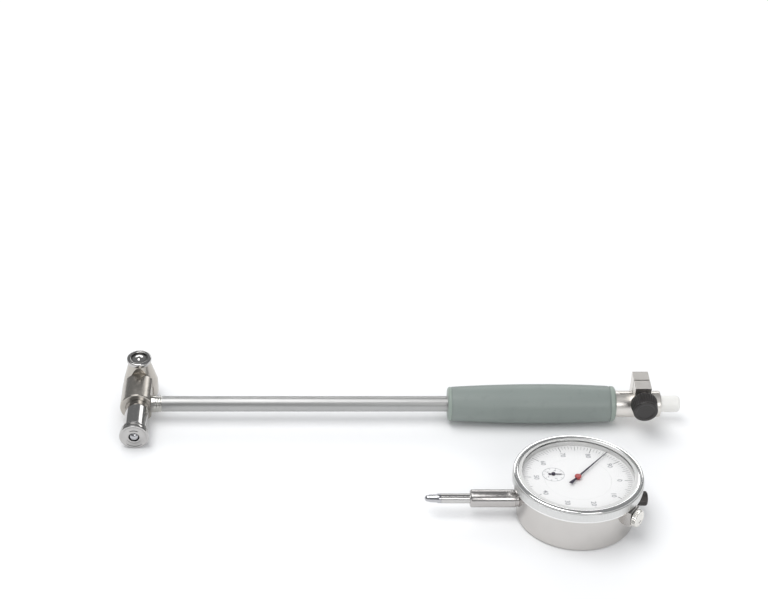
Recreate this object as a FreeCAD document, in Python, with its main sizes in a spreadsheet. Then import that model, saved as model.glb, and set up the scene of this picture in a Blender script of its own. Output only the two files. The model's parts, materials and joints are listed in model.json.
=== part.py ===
"""Dial bore gauge, lying on a bench: the gauge holder, with the dial indicator beside it.

Holder frame:    origin where the stem axis meets the measuring axis, +X along the stem to the
                 handle, +Y along the measuring axis to the fixed anvil, +Z up.
Indicator frame: origin where the stem axis meets the dial axis, spindle towards -X, dial up (+Z).
Row frame:       origin on the bench under the middle of everything, +Z up, millimetres.
"""
import FreeCAD, Part
import math
import os

import Sketcher

Vector = FreeCAD.Vector
ORIGIN = Vector(0, 0, 0)
X_AXIS, Y_AXIS, Z_AXIS = Vector(1, 0, 0), Vector(0, 1, 0), Vector(0, 0, 1)

DRIVING_SIZES = {
    # fits and clearances
    "running_gap": 0.03, "slide_gap": 0.05, "free_gap": 0.15, "rest_gap": 0.3,
    # measuring head
    "head_radius": 8.4, "head_near": 3.6, "head_far": 12.75, "head_round": 0.7, "stem_seat": 6.3,
    "snout_radius": 4.4, "snout_reach": 15.0, "sleeve_radius": 5.8, "sleeve_travel": 1.5,
    "flange_radius": 7.0, "flange_reach": 24.2, "flange_width": 2.0, "ring_width": 1.1,
    "groove_width": 0.9, "groove_depth": 0.7, "front_wall": 4.0,
    "contact_radius": 2.0, "contact_ball_radius": 2.5, "contact_proud": 0.8, "contact_travel": 1.2,
    "crank_arm": 3.2, "crank_half_width": 0.55, "crank_thickness": 1.8, "crank_hub_radius": 0.95,
    "crank_pin_radius": 0.6, "crank_pin_length": 4.4, "nose_radius": 0.9,
    # fixed anvil and its lock
    "anvil_offset": 18.0, "anvil_block_radius": 8.4, "anvil_block_top_radius": 5.2,
    "anvil_block_height": 11.8, "anvil_block_depth": 7.6, "anvil_shank_radius": 2.5,
    "anvil_head_radius": 3.4, "anvil_head_length": 2.6, "anvil_tip_radius": 2.4,
    "lock_ring_radius": 6.0, "lock_ring_bore": 4.1, "lock_ring_height": 2.5,
    "lock_screw_radius": 3.2, "lock_screw_dome": 0.7, "lock_slot_width": 0.8, "lock_slot_depth": 0.7,
    "lock_shank_radius": 1.9,
    # stem
    "ferrule_radius": 4.15, "ferrule_length": 5.3, "ferrule_neck_radius": 3.5,
    "tube_radius": 3.75, "tube_bore_radius": 2.3, "push_rod_radius": 1.5, "push_head_radius": 3.4,
    "push_head_length": 1.4, "measuring_depth": 149.7,
    # grip and collar
    "grip_length": 80.6, "grip_end_radius": 8.2, "grip_radius": 9.55, "grip_peak": 46.0,
    "grip_tail_radius": 8.5, "grip_round": 1.2, "collar_radius": 6.4, "collar_length": 21.8,
    "collar_tail": 8.3, "collar_tail_radius": 5.2, "ear_width": 7.6, "ear_depth": 12.9,
    "ear_height": 14.9, "ear_setback": 6.2, "clamp_height": 9.3, "slit_width": 0.6,
    "clamp_screw_radius": 1.45, "knob_radius": 6.4, "knob_front_radius": 5.8, "knob_length": 7.3,
    "knob_neck_radius": 4.0, "knob_neck_length": 3.0, "knob_grooves": 18,
    "spring_wire": 0.3, "plug_length": 24.0, "plug_reach": 9.6, "plug_chamfer": 0.6,
    # indicator housing
    "stem_height": 9.0, "case_radius": 26.2, "case_wall": 1.8, "case_front": 8.2, "web_depth": 1.3,
    "neck_radius": 25.0, "neck_height": 1.8, "pedestal_radius": 14.4, "pedestal_wall": 2.0,
    "back_thickness": 1.5, "back_rim": 0.8, "back_screw_inset": 4.2, "back_screw_radius": 1.7,
    "indicator_stem_radius": 4.0, "indicator_stem_reach": 47.5, "indicator_stub_step": 0.4,
    "spindle_radius": 2.25, "spindle_reach": 60.5, "spindle_tail": 20.5, "spindle_travel": 10.0,
    "contact_point_length": 7.3, "contact_point_ball": 1.5, "contact_point_radius": 2.2,
    "bush_radius": 3.1, "cap_radius": 3.3, "cap_reach": 31.8,
    # dial and bezel
    "bezel_radius": 29.0, "bezel_bottom": 8.5, "bezel_top": 14.5, "bezel_opening": 24.8,
    "bezel_round": 0.5, "crystal_radius": 26.0, "crystal_thickness": 1.0, "crystal_setback": 0.35,
    "dial_face": 10.9, "dial_thickness": 0.5, "inner_dial_radius": 14.9,
    "pointer_length": 24.2, "pointer_tail": 6.0, "pointer_angle": 50.0, "pointer_height": 1.1,
    "pointer_thickness": 0.2, "hub_radius": 1.5, "hub_height": 1.9, "small_pointer_length": 3.9,
    "lock_angle": -40.0, "lock_height": 4.6, "bezel_lock_radius": 4.0, "bezel_lock_width": 2.4,
    "bezel_lock_shank": 1.2, "lug_width": 7.0, "lug_depth": 3.6,
    # movement
    "gear_module": 0.2, "rack_teeth": 22, "rack_pinion_teeth": 16, "transfer_teeth": 100,
    "centre_teeth": 10, "takeup_teeth": 60, "lower_plate": 3.0, "plate_thickness": 0.8,
    "plate_radius": 18.0, "gear_level": 4.4, "gear_thickness": 0.5,
    "arbor_radius": 0.45, "pillar_radius": 1.4, "pillar_circle": 16.0, "takeup_angle": -45.0,
    "transfer_side": 3.2,
    # where the indicator lies beside the holder
    "indicator_along": 202.5, "indicator_beside": 73.5,
}


class Size:
    """A number together with the sheet expression that gives it."""

    def __init__(self, value, text):
        self.value = float(value)
        self.text = text

    @staticmethod
    def of(thing):
        return thing if isinstance(thing, Size) else Size(thing, repr(float(thing)))

    def _with(self, other, sign, value):
        return Size(value, f"({self.text} {sign} {other.text})")

    def __add__(self, other):
        other = Size.of(other)
        return self._with(other, "+", self.value + other.value)

    def __sub__(self, other):
        other = Size.of(other)
        return self._with(other, "-", self.value - other.value)

    def __mul__(self, other):
        other = Size.of(other)
        return self._with(other, "*", self.value * other.value)

    def __truediv__(self, other):
        other = Size.of(other)
        return self._with(other, "/", self.value / other.value)

    def __radd__(self, other):
        return Size.of(other) + self

    def __rsub__(self, other):
        return Size.of(other) - self

    def __rmul__(self, other):
        return Size.of(other) * self

    def __neg__(self):
        return Size(-self.value, f"(0 - {self.text})")


def root(size):
    return Size(math.sqrt(size.value), f"sqrt({size.text})")


def sine(angle):
    return Size(math.sin(math.radians(angle.value)), f"sin({angle.text})")


def cosine(angle):
    return Size(math.cos(math.radians(angle.value)), f"cos({angle.text})")


def arcsine(ratio):
    return Size(math.degrees(math.asin(ratio.value)), f"asin({ratio.text}) / 1 deg")


def arctangent(ratio):
    return Size(math.degrees(math.atan(ratio.value)), f"atan({ratio.text}) / 1 deg")


class Sizes:
    """The driving sheet: every size is read from its cell by its alias."""

    def __init__(self, document, values):
        self.sheet = document.addObject("Spreadsheet::Sheet", "Sizes")
        for row, (alias, value) in enumerate(values.items(), start=1):
            self.sheet.set(f"A{row}", alias.replace("_", " "))
            self.sheet.set(f"B{row}", repr(value))
            self.sheet.setAlias(f"B{row}", alias)
        document.recompute()

    def __getattr__(self, alias):
        return Size(self.sheet.get(alias), f"Sizes.{alias}")


doc = FreeCAD.newDocument("DialBoreGauge")
S = Sizes(doc, DRIVING_SIZES)
nodes = []

# ---------------------------------------------------------------- places worked out from the sizes

contact_reach = S.flange_reach + S.contact_proud
flange_diagonal = root(S.flange_reach * S.flange_reach + S.flange_radius * S.flange_radius)
holder_roll = arcsine(S.grip_radius / flange_diagonal) - arctangent(S.flange_radius / S.flange_reach)
grip_end = S.measuring_depth + S.grip_length
collar_end = grip_end + S.collar_length
holder_end = collar_end + S.plug_reach
anvil_reach = S.anvil_offset + S.anvil_block_radius + S.anvil_head_length + S.anvil_tip_radius
middle_along = (holder_end - S.head_radius) / 2
middle_beside = (S.indicator_beside + S.bezel_radius - anvil_reach * cosine(holder_roll)) / 2
holder_place = (-middle_along, middle_beside, S.grip_radius, holder_roll, X_AXIS)
dial_along = S.indicator_along - middle_along
dial_beside = middle_beside - S.indicator_beside


def beside_holder(along=0, beside=0, height=0, spin=0):
    """A place in the indicator's frame, turned by spin about the dial axis."""
    return (dial_along + along, dial_beside + beside, S.stem_height + height, Size.of(spin), Z_AXIS)


indicator_place = beside_holder()


def bind(thing, prop, size):
    """Ties a property to the sheet where its size has an expression of its own."""
    thing.setExpression(prop, Size.of(size).text)


def put(thing, label, place):
    """Names a finished sub-part and lays it where its assembly lies."""
    along, beside, height, angle, axis = place
    thing.Label = label
    thing.Placement = FreeCAD.Placement(Vector(along.value, beside.value, height.value),
                                        FreeCAD.Rotation(axis, angle.value))
    bind(thing, "Placement.Base.x", along)
    bind(thing, "Placement.Base.y", beside)
    bind(thing, "Placement.Base.z", height)
    if angle.value:
        bind(thing, "Placement.Rotation.Angle", angle)
    nodes.append(thing)
    return thing


# ---------------------------------------------------------------- sketches


class Corner:
    """A corner of an outline, rounded where it has a radius."""

    def __init__(self, across, up, rounding=None):
        self.across = Size.of(across)
        self.up = Size.of(up)
        self.rounding = rounding


class Bulge:
    """Marks the edge between two corners as an arc; side +1 has its centre on the left."""

    def __init__(self, radius, side):
        self.radius = Size.of(radius)
        self.side = side


def unit_step(first, second):
    """The direction between two corners that share a coordinate."""
    across = second.across.value - first.across.value
    up = second.up.value - first.up.value
    length = math.hypot(across, up)
    return across / length, up / length


def outline_edges(items):
    """Turns corners and bulges into (start, end, bulge) edges, with rounded corners as arcs."""
    corners = [item for item in items if isinstance(item, Corner)]
    bulge_after = {}
    index = -1
    for item in items:
        if isinstance(item, Corner):
            index += 1
        else:
            bulge_after[index] = item
    stops = []
    for index, corner in enumerate(corners):
        if corner.rounding is None:
            stops.append([corner])
            continue
        before = unit_step(corner, corners[index - 1])
        after = unit_step(corner, corners[(index + 1) % len(corners)])
        entry = Corner(corner.across + corner.rounding * round(before[0], 9),
                       corner.up + corner.rounding * round(before[1], 9))
        leave = Corner(corner.across + corner.rounding * round(after[0], 9),
                       corner.up + corner.rounding * round(after[1], 9))
        turn = before[0] * after[1] - before[1] * after[0]
        stops.append([entry, leave, Bulge(corner.rounding, -1 if turn > 0 else 1)])
    edges = []
    for index, stop in enumerate(stops):
        if len(stop) == 3:
            edges.append((stop[0], stop[1], stop[2]))
        start = stop[1] if len(stop) == 3 else stop[0]
        edges.append((start, stops[(index + 1) % len(stops)][0], bulge_after.get(index)))
    return edges


def arc_centre(start, end, bulge):
    middle = ((start[0] + end[0]) / 2, (start[1] + end[1]) / 2)
    chord = (end[0] - start[0], end[1] - start[1])
    half = math.hypot(*chord) / 2
    rise = math.sqrt(max(bulge.radius.value ** 2 - half ** 2, 0.0)) * bulge.side
    return (middle[0] - chord[1] / (2 * half) * rise, middle[1] + chord[0] / (2 * half) * rise)


def add_outline(sketch, items):
    """Draws one closed outline, with each corner and radius bound to the sheet."""
    edges = outline_edges(items)
    first = sketch.GeometryCount
    ends = []
    for start, end, bulge in edges:
        a = (start.across.value, start.up.value)
        b = (end.across.value, end.up.value)
        if bulge is None:
            sketch.addGeometry(Part.LineSegment(Vector(*a, 0), Vector(*b, 0)), False)
            ends.append((1, 2))
            continue
        centre = arc_centre(a, b, bulge)
        low, high = (a, b) if bulge.side > 0 else (b, a)
        angles = [math.atan2(point[1] - centre[1], point[0] - centre[0]) for point in (low, high)]
        circle = Part.Circle(Vector(*centre, 0), Z_AXIS, bulge.radius.value)
        sketch.addGeometry(Part.ArcOfCircle(circle, angles[0], angles[1]), False)
        ends.append((1, 2) if bulge.side > 0 else (2, 1))
    count = len(edges)
    for index, (start, end, bulge) in enumerate(edges):
        this = first + index
        following = (index + 1) % count
        sketch.addConstraint(Sketcher.Constraint("Coincident", this, ends[index][1],
                                                 first + following, ends[following][0]))
        for kind, size in (("DistanceX", start.across), ("DistanceY", start.up)):
            number = sketch.addConstraint(Sketcher.Constraint(kind, this, ends[index][0], size.value))
            bind(sketch, f"Constraints[{number}]", size)
        if bulge is not None:
            number = sketch.addConstraint(Sketcher.Constraint("Radius", this, bulge.radius.value))
            bind(sketch, f"Constraints[{number}]", bulge.radius)


def add_circle(sketch, across, up, radius):
    """Draws one full circle, with its centre and radius bound to the sheet."""
    across, up, radius = Size.of(across), Size.of(up), Size.of(radius)
    index = sketch.addGeometry(Part.Circle(Vector(across.value, up.value, 0), Z_AXIS, radius.value),
                               False)
    for kind, size in (("DistanceX", across), ("DistanceY", up)):
        number = sketch.addConstraint(Sketcher.Constraint(kind, index, 3, size.value))
        bind(sketch, f"Constraints[{number}]", size)
    number = sketch.addConstraint(Sketcher.Constraint("Radius", index, radius.value))
    bind(sketch, f"Constraints[{number}]", radius)


def new_body(name):
    return doc.addObject("PartDesign::Body", name)


def new_sketch(body, name, plane, shift=(0, 0, 0)):
    """A sketch on one of the body's own planes, moved by shift in the sketch's directions."""
    sketch = body.newObject("Sketcher::SketchObject", name)
    support = [item for item in body.Origin.OriginFeatures if item.Role == plane][0]
    sketch.AttachmentSupport = [(support, "")]
    sketch.MapMode = "FlatFace"
    for axis, size in zip("xyz", shift):
        if isinstance(size, Size):
            bind(sketch, f"AttachmentOffset.Base.{axis}", size)
    return sketch


PLANE_OF_AXIS = {"X": ("XY_Plane", "H_Axis"), "Y": ("XY_Plane", "V_Axis"), "Z": ("XZ_Plane", "V_Axis")}


def turn(body, name, axis, profile, shift=(0, 0, 0), cut=False):
    """Revolves a profile of (along, radius) corners about an axis of the body."""
    plane, reference = PLANE_OF_AXIS[axis]
    sketch = new_sketch(body, f"{name}_profile", plane, shift)
    if axis != "X":
        flipped = []
        for item in profile:
            if isinstance(item, Corner):
                flipped.append(Corner(item.up, item.across, item.rounding))
            else:
                flipped.append(Bulge(item.radius, -item.side))
        profile = flipped
    add_outline(sketch, profile)
    feature = body.newObject("PartDesign::Groove" if cut else "PartDesign::Revolution", name)
    feature.Profile = sketch
    feature.ReferenceAxis = (sketch, [reference])
    feature.Angle = 360
    return feature


def raise_pad(body, name, sketch, length, both_ways=False, reverse=False):
    pad = body.newObject("PartDesign::Pad", name)
    pad.Profile = sketch
    pad.Length = Size.of(length).value
    bind(pad, "Length", length)
    pad.Midplane = both_ways
    pad.Reversed = reverse
    return pad


def cut_pocket(body, name, sketch, length, both_ways=False, reverse=False):
    pocket = body.newObject("PartDesign::Pocket", name)
    pocket.Profile = sketch
    pocket.Length = Size.of(length).value
    bind(pocket, "Length", length)
    pocket.Midplane = both_ways
    pocket.Reversed = reverse
    return pocket


def repeat_round(body, name, feature, sketch, reference, count):
    """Repeats a feature round an axis of its sketch."""
    pattern = body.newObject("PartDesign::PolarPattern", name)
    pattern.Originals = [feature]
    pattern.Axis = (sketch, [reference])
    pattern.Angle = 360
    pattern.Occurrences = int(Size.of(count).value)
    bind(pattern, "Occurrences", count)
    body.Tip = pattern
    return pattern


def box_outline(left, right, bottom, top):
    return [Corner(left, bottom), Corner(right, bottom), Corner(right, top), Corner(left, top)]


def turned_part(label, axis, profile, place, shift=(0, 0, 0)):
    """A sub-part that is one turned piece."""
    body = new_body(f"Body_{label}")
    turn(body, f"{label}_turning", axis, profile, shift)
    return put(body, label, place)


# ---------------------------------------------------------------- measuring head

pocket_height = S.crank_thickness + 2 * S.free_gap
nose_seat = S.crank_arm + S.crank_half_width + S.free_gap
push_channel = S.push_rod_radius + S.slide_gap
snout_bore = S.contact_radius + S.running_gap
sleeve_bore = S.snout_radius + S.slide_gap
sleeve_rear = push_channel + S.rest_gap + S.sleeve_travel
mouth_depth = S.head_near - push_channel - S.rest_gap
front_bore = S.contact_ball_radius + 2 * S.slide_gap


def make_head_body():
    """The T-shaped body: turned about the measuring axis, with a flat where the stem is joined."""
    body = new_body("Body_head_body")
    turn(body, "head_turning", "Y", [
        Corner(-S.snout_reach, 0), Corner(-S.snout_reach, S.snout_radius),
        Corner(-S.head_near, S.snout_radius), Corner(-S.head_near, S.head_radius, S.head_round),
        Corner(S.head_far, S.head_radius, S.head_round), Corner(S.head_far, 0)])
    flat = new_sketch(body, "stem_flat_outline", "XY_Plane")
    add_outline(flat, box_outline(S.stem_seat, S.head_radius + 1, -S.head_near - 1, S.head_far + 1))
    cut_pocket(body, "stem_flat", flat, 2 * S.head_radius + 2, both_ways=True)
    turn(body, "sleeve_mouth", "Y", [
        Corner(-S.head_near - 1, S.snout_radius), Corner(-S.head_near + mouth_depth, S.snout_radius),
        Corner(-S.head_near + mouth_depth, S.sleeve_radius + S.slide_gap),
        Corner(-S.head_near - 1, S.sleeve_radius + S.slide_gap)], cut=True)
    turn(body, "contact_bore", "Y", [
        Corner(-S.snout_reach - 1, 0), Corner(-S.snout_reach - 1, snout_bore),
        Corner(-nose_seat, snout_bore), Corner(-nose_seat, 0)], cut=True)
    pocket = new_sketch(body, "crank_pocket_outline", "XY_Plane")
    add_outline(pocket, box_outline(-S.crank_half_width - 1,
                                    S.crank_arm + S.crank_hub_radius + 2 * S.slide_gap,
                                    -nose_seat - 1, push_channel))
    cut_pocket(body, "crank_pocket", pocket, pocket_height, both_ways=True)
    swing = new_sketch(body, "arm_swing_outline", "XY_Plane")
    swing_reach = S.crank_arm + S.crank_half_width + S.contact_travel + S.rest_gap
    add_outline(swing, box_outline(S.crank_arm, swing_reach, -push_channel - 2 * S.rest_gap, push_channel))
    cut_pocket(body, "arm_swing_room", swing, pocket_height, both_ways=True)
    pin_hole = new_sketch(body, "crank_pin_circle", "XY_Plane")
    add_circle(pin_hole, S.crank_arm, -S.crank_arm, S.crank_pin_radius)
    cut_pocket(body, "crank_pin_hole", pin_hole, S.crank_pin_length, both_ways=True)
    turn(body, "push_rod_channel", "X", [
        Corner(S.crank_arm - S.crank_half_width, 0), Corner(S.crank_arm - S.crank_half_width, push_channel),
        Corner(S.head_radius, push_channel), Corner(S.head_radius, 0)], cut=True)
    anvil_seat = S.head_far - 2
    turn(body, "anvil_neck_bore", "Y", [
        Corner(anvil_seat, 0), Corner(anvil_seat, S.anvil_shank_radius),
        Corner(S.head_far + 1, S.anvil_shank_radius), Corner(S.head_far + 1, 0)], cut=True)
    return put(body, "head_body", holder_place)


def make_centring_sleeve():
    """The sprung sleeve that centres the gauge in the bore, with its flange and ring groove."""
    ring_front = S.flange_reach - S.flange_width - S.groove_width
    ring_back = ring_front - S.ring_width
    groove_radius = S.flange_radius - S.groove_depth
    spring_seat = S.flange_reach - S.front_wall
    return turned_part("centring_sleeve", "Y", [
        Corner(-S.flange_reach, front_bore), Corner(-S.flange_reach, S.flange_radius, S.head_round / 2),
        Corner(-S.flange_reach + S.flange_width, S.flange_radius, S.head_round / 2),
        Corner(-S.flange_reach + S.flange_width, groove_radius),
        Corner(-ring_front, groove_radius), Corner(-ring_front, S.flange_radius - S.groove_depth / 2),
        Corner(-ring_back, S.flange_radius - S.groove_depth / 2), Corner(-ring_back, S.sleeve_radius),
        Corner(-sleeve_rear, S.sleeve_radius), Corner(-sleeve_rear, sleeve_bore),
        Corner(-spring_seat, sleeve_bore), Corner(-spring_seat, front_bore)], holder_place)


def make_measuring_contact():
    """The measuring pin: a hard ball at the bore end, a small nose against the crank."""
    ball_back = root(S.contact_ball_radius * S.contact_ball_radius - S.contact_radius * S.contact_radius)
    ball_centre = contact_reach - S.contact_ball_radius
    nose_centre = nose_seat + S.nose_radius
    return turned_part("measuring_contact", "Y", [
        Corner(-contact_reach, 0), Bulge(S.contact_ball_radius, -1),
        Corner(-ball_centre, S.contact_ball_radius), Bulge(S.contact_ball_radius, -1),
        Corner(-ball_centre + ball_back, S.contact_radius),
        Corner(-nose_centre - S.contact_radius, S.contact_radius),
        Corner(-nose_centre, S.nose_radius), Bulge(S.nose_radius, -1),
        Corner(-nose_seat, 0)], holder_place)


def make_bell_crank():
    """The two-armed lever that turns the contact's stroke through a right angle."""
    body = new_body("Body_bell_crank")
    arm_end = S.crank_half_width
    sketch = new_sketch(body, "crank_hub_circle", "XY_Plane")
    add_circle(sketch, S.crank_arm, -S.crank_arm, S.crank_hub_radius)
    raise_pad(body, "crank_hub", sketch, S.crank_thickness, both_ways=True)
    across = new_sketch(body, "contact_arm_outline", "XY_Plane")
    add_outline(across, box_outline(-arm_end, S.crank_arm, -S.crank_arm - S.crank_half_width,
                                    -S.crank_arm + S.crank_half_width))
    raise_pad(body, "contact_arm", across, S.crank_thickness, both_ways=True)
    along = new_sketch(body, "rod_arm_outline", "XY_Plane")
    add_outline(along, box_outline(S.crank_arm - S.crank_half_width, S.crank_arm + S.crank_half_width,
                                   -S.crank_arm, arm_end))
    raise_pad(body, "rod_arm", along, S.crank_thickness, both_ways=True)
    eye = new_sketch(body, "crank_eye_circle", "XY_Plane")
    add_circle(eye, S.crank_arm, -S.crank_arm, S.crank_pin_radius + S.running_gap)
    cut_pocket(body, "crank_eye", eye, 2 * S.crank_thickness, both_ways=True)
    return put(body, "bell_crank", holder_place)


def make_crank_pin():
    body = new_body("Body_crank_pin")
    sketch = new_sketch(body, "crank_pin_section", "XY_Plane")
    add_circle(sketch, S.crank_arm, -S.crank_arm, S.crank_pin_radius)
    raise_pad(body, "crank_pin_bar", sketch, S.crank_pin_length - 2 * S.slide_gap, both_ways=True)
    return put(body, "crank_pin", holder_place)


def make_anvil_block():
    """The tapered boss that carries the replaceable anvil, cut flat where it meets the head."""
    body = new_body("Body_anvil_block")
    shift = (0, 0, -S.anvil_offset)
    turn(body, "anvil_boss", "Z", [
        Corner(-S.anvil_block_depth, 0), Corner(-S.anvil_block_depth, S.anvil_block_radius - S.head_round),
        Corner(-S.anvil_block_depth + S.head_round, S.anvil_block_radius),
        Corner(0, S.anvil_block_radius), Corner(S.anvil_block_height, S.anvil_block_top_radius),
        Corner(S.anvil_block_height, 0)], shift)
    face = new_sketch(body, "head_face_outline", "XY_Plane")
    add_outline(face, box_outline(-S.anvil_block_radius - 1, S.anvil_block_radius + 1,
                                  S.anvil_offset - S.anvil_block_radius - 1, S.head_far))
    cut_pocket(body, "head_face", face, 4 * S.anvil_block_height, both_ways=True)
    turn(body, "anvil_bore", "Y", [
        Corner(S.head_far - 1, 0), Corner(S.head_far - 1, S.anvil_shank_radius),
        Corner(S.anvil_offset + S.anvil_block_radius + 1, S.anvil_shank_radius),
        Corner(S.anvil_offset + S.anvil_block_radius + 1, 0)], cut=True)
    seat_flat = new_sketch(body, "anvil_flat_outline", "XY_Plane")
    flat_at = S.anvil_offset + S.anvil_block_radius - 1
    add_outline(seat_flat, box_outline(-S.anvil_block_radius, S.anvil_block_radius, flat_at, flat_at + 2))
    cut_pocket(body, "anvil_flat", seat_flat, 2 * S.anvil_head_radius + 1.5, both_ways=True)
    turn(body, "lock_screw_bore", "Z", [
        Corner(0, 0), Corner(0, S.lock_shank_radius), Corner(S.anvil_block_height + 1, S.lock_shank_radius),
        Corner(S.anvil_block_height + 1, 0)], shift, cut=True)
    return put(body, "anvil_block", holder_place)


def make_fixed_anvil():
    """The replaceable anvil: threaded shank, shouldered head, rounded hard tip."""
    flat_at = S.anvil_offset + S.anvil_block_radius - 1
    tip_base = flat_at + 1 + S.anvil_head_length
    body = new_body("Body_fixed_anvil")
    turn(body, "anvil_turning", "Y", [
        Corner(S.head_far - 2, 0), Corner(S.head_far - 2, S.anvil_shank_radius),
        Corner(flat_at, S.anvil_shank_radius), Corner(flat_at, S.anvil_head_radius, S.head_round / 2),
        Corner(tip_base, S.anvil_head_radius, S.head_round / 2), Corner(tip_base, S.anvil_tip_radius),
        Bulge(S.anvil_tip_radius, -1), Corner(tip_base + S.anvil_tip_radius, 0)])
    flat = new_sketch(body, "lock_flat_outline", "XY_Plane", (0, 0, S.anvil_shank_radius - 0.8))
    add_outline(flat, box_outline(-S.anvil_shank_radius - 1, S.anvil_shank_radius + 1,
                                  S.anvil_offset - 2.4, S.anvil_offset + 2.4))
    cut_pocket(body, "lock_flat", flat, S.anvil_shank_radius, reverse=True)
    return put(body, "fixed_anvil", holder_place)


def make_lock_ring():
    """The round ring nut on top of the boss, rounded at both rims."""
    shift = (0, 0, -S.anvil_offset)
    top = S.anvil_block_height + S.lock_ring_height
    edge = S.lock_ring_height * 0.3
    return turned_part("anvil_lock_ring", "Z", [
        Corner(S.anvil_block_height, S.lock_shank_radius + 2 * S.slide_gap),
        Corner(S.anvil_block_height, S.lock_ring_radius, edge),
        Corner(top, S.lock_ring_radius, edge), Corner(top, S.lock_ring_bore),
        Corner(S.anvil_block_height + 0.6, S.lock_ring_bore),
        Corner(S.anvil_block_height + 0.6, S.lock_shank_radius + 2 * S.slide_gap)], holder_place, shift)


def make_lock_screw():
    """The domed slotted screw that grips the anvil through the boss."""
    body = new_body("Body_anvil_lock_screw")
    shift = (0, 0, -S.anvil_offset)
    under = S.anvil_block_height + 0.6
    shoulder = S.anvil_block_height + S.lock_ring_height - S.lock_screw_dome
    dome = (S.lock_screw_radius * S.lock_screw_radius + S.lock_screw_dome * S.lock_screw_dome) / (
        2 * S.lock_screw_dome)
    turn(body, "lock_screw_turning", "Z", [
        Corner(S.anvil_shank_radius - 0.8, 0), Corner(S.anvil_shank_radius - 0.8, S.lock_shank_radius),
        Corner(under, S.lock_shank_radius), Corner(under, S.lock_screw_radius),
        Corner(shoulder, S.lock_screw_radius), Bulge(dome, 1),
        Corner(shoulder + S.lock_screw_dome, 0)], shift)
    slot = new_sketch(body, "slot_outline", "XY_Plane", (0, 0, shoulder + S.lock_screw_dome))
    add_outline(slot, box_outline(-S.lock_screw_radius - 1, S.lock_screw_radius + 1,
                                  S.anvil_offset - S.lock_slot_width / 2,
                                  S.anvil_offset + S.lock_slot_width / 2))
    cut_pocket(body, "slot", slot, S.lock_slot_depth)
    return put(body, "anvil_lock_screw", holder_place)


# ---------------------------------------------------------------- stem, grip and collar

tube_start = S.stem_seat + S.ferrule_length
tube_end = grip_end - S.collar_tail + 4
push_start = S.crank_arm + S.crank_half_width + S.free_gap
push_head_at = tube_end + 0.5
push_end = collar_end - 13


def make_rod_ferrule():
    """The ferrule brazed to the head, with its turned neck and ring."""
    neck = tube_start - 1.6
    return turned_part("rod_ferrule", "X", [
        Corner(S.stem_seat, push_channel), Corner(S.stem_seat, S.ferrule_radius, S.head_round / 3),
        Corner(neck, S.ferrule_radius), Corner(neck, S.ferrule_neck_radius),
        Corner(neck + 0.5, S.ferrule_neck_radius), Corner(neck + 0.5, S.tube_radius + 0.25),
        Corner(neck + 1.1, S.tube_radius + 0.25), Corner(neck + 1.1, S.ferrule_neck_radius),
        Corner(tube_start, S.ferrule_neck_radius), Corner(tube_start, push_channel)], holder_place)


def make_stem_tube():
    return turned_part("stem_tube", "X", [
        Corner(tube_start, S.tube_bore_radius), Corner(tube_start, S.tube_radius),
        Corner(tube_end, S.tube_radius), Corner(tube_end, S.tube_bore_radius)], holder_place)


def make_push_rod():
    """The rod in the stem, from the crank's nose to the flat head that meets the indicator."""
    nose_centre = push_start + S.nose_radius
    return turned_part("push_rod", "X", [
        Corner(push_start, 0), Bulge(S.nose_radius, -1), Corner(nose_centre, S.nose_radius),
        Corner(nose_centre + S.push_rod_radius, S.push_rod_radius),
        Corner(push_head_at, S.push_rod_radius), Corner(push_head_at, S.push_head_radius),
        Corner(push_head_at + S.push_head_length, S.push_head_radius),
        Corner(push_head_at + S.push_head_length, S.push_rod_radius),
        Corner(push_end, S.push_rod_radius), Corner(push_end, 0)], holder_place)


def make_grip():
    """The barrel-shaped insulating handle, in two tangent arcs that meet at its fullest section."""
    peak = S.measuring_depth + S.grip_peak
    tail = grip_end - S.grip_round
    front_run = peak - (S.measuring_depth + S.grip_round)
    front_rise = S.grip_radius - S.grip_end_radius
    back_run = tail - peak
    back_rise = S.grip_radius - S.grip_tail_radius
    front_arc = (front_run * front_run + front_rise * front_rise) / (2 * front_rise)
    back_arc = (back_run * back_run + back_rise * back_rise) / (2 * back_rise)
    bore_step = grip_end - S.collar_tail
    return turned_part("grip", "X", [
        Corner(S.measuring_depth, S.tube_radius), Corner(S.measuring_depth, S.grip_end_radius - S.grip_round),
        Bulge(S.grip_round, -1), Corner(S.measuring_depth + S.grip_round, S.grip_end_radius),
        Bulge(front_arc, -1), Corner(peak, S.grip_radius),
        Bulge(back_arc, -1), Corner(tail, S.grip_tail_radius),
        Bulge(S.grip_round, -1), Corner(grip_end, S.grip_tail_radius - S.grip_round),
        Corner(grip_end, S.collar_tail_radius), Corner(bore_step, S.collar_tail_radius),
        Corner(bore_step, S.tube_radius)], holder_place)


collar_bore = S.indicator_stem_radius + S.running_gap
ear_middle = collar_end - S.ear_setback - S.ear_width / 2


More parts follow.
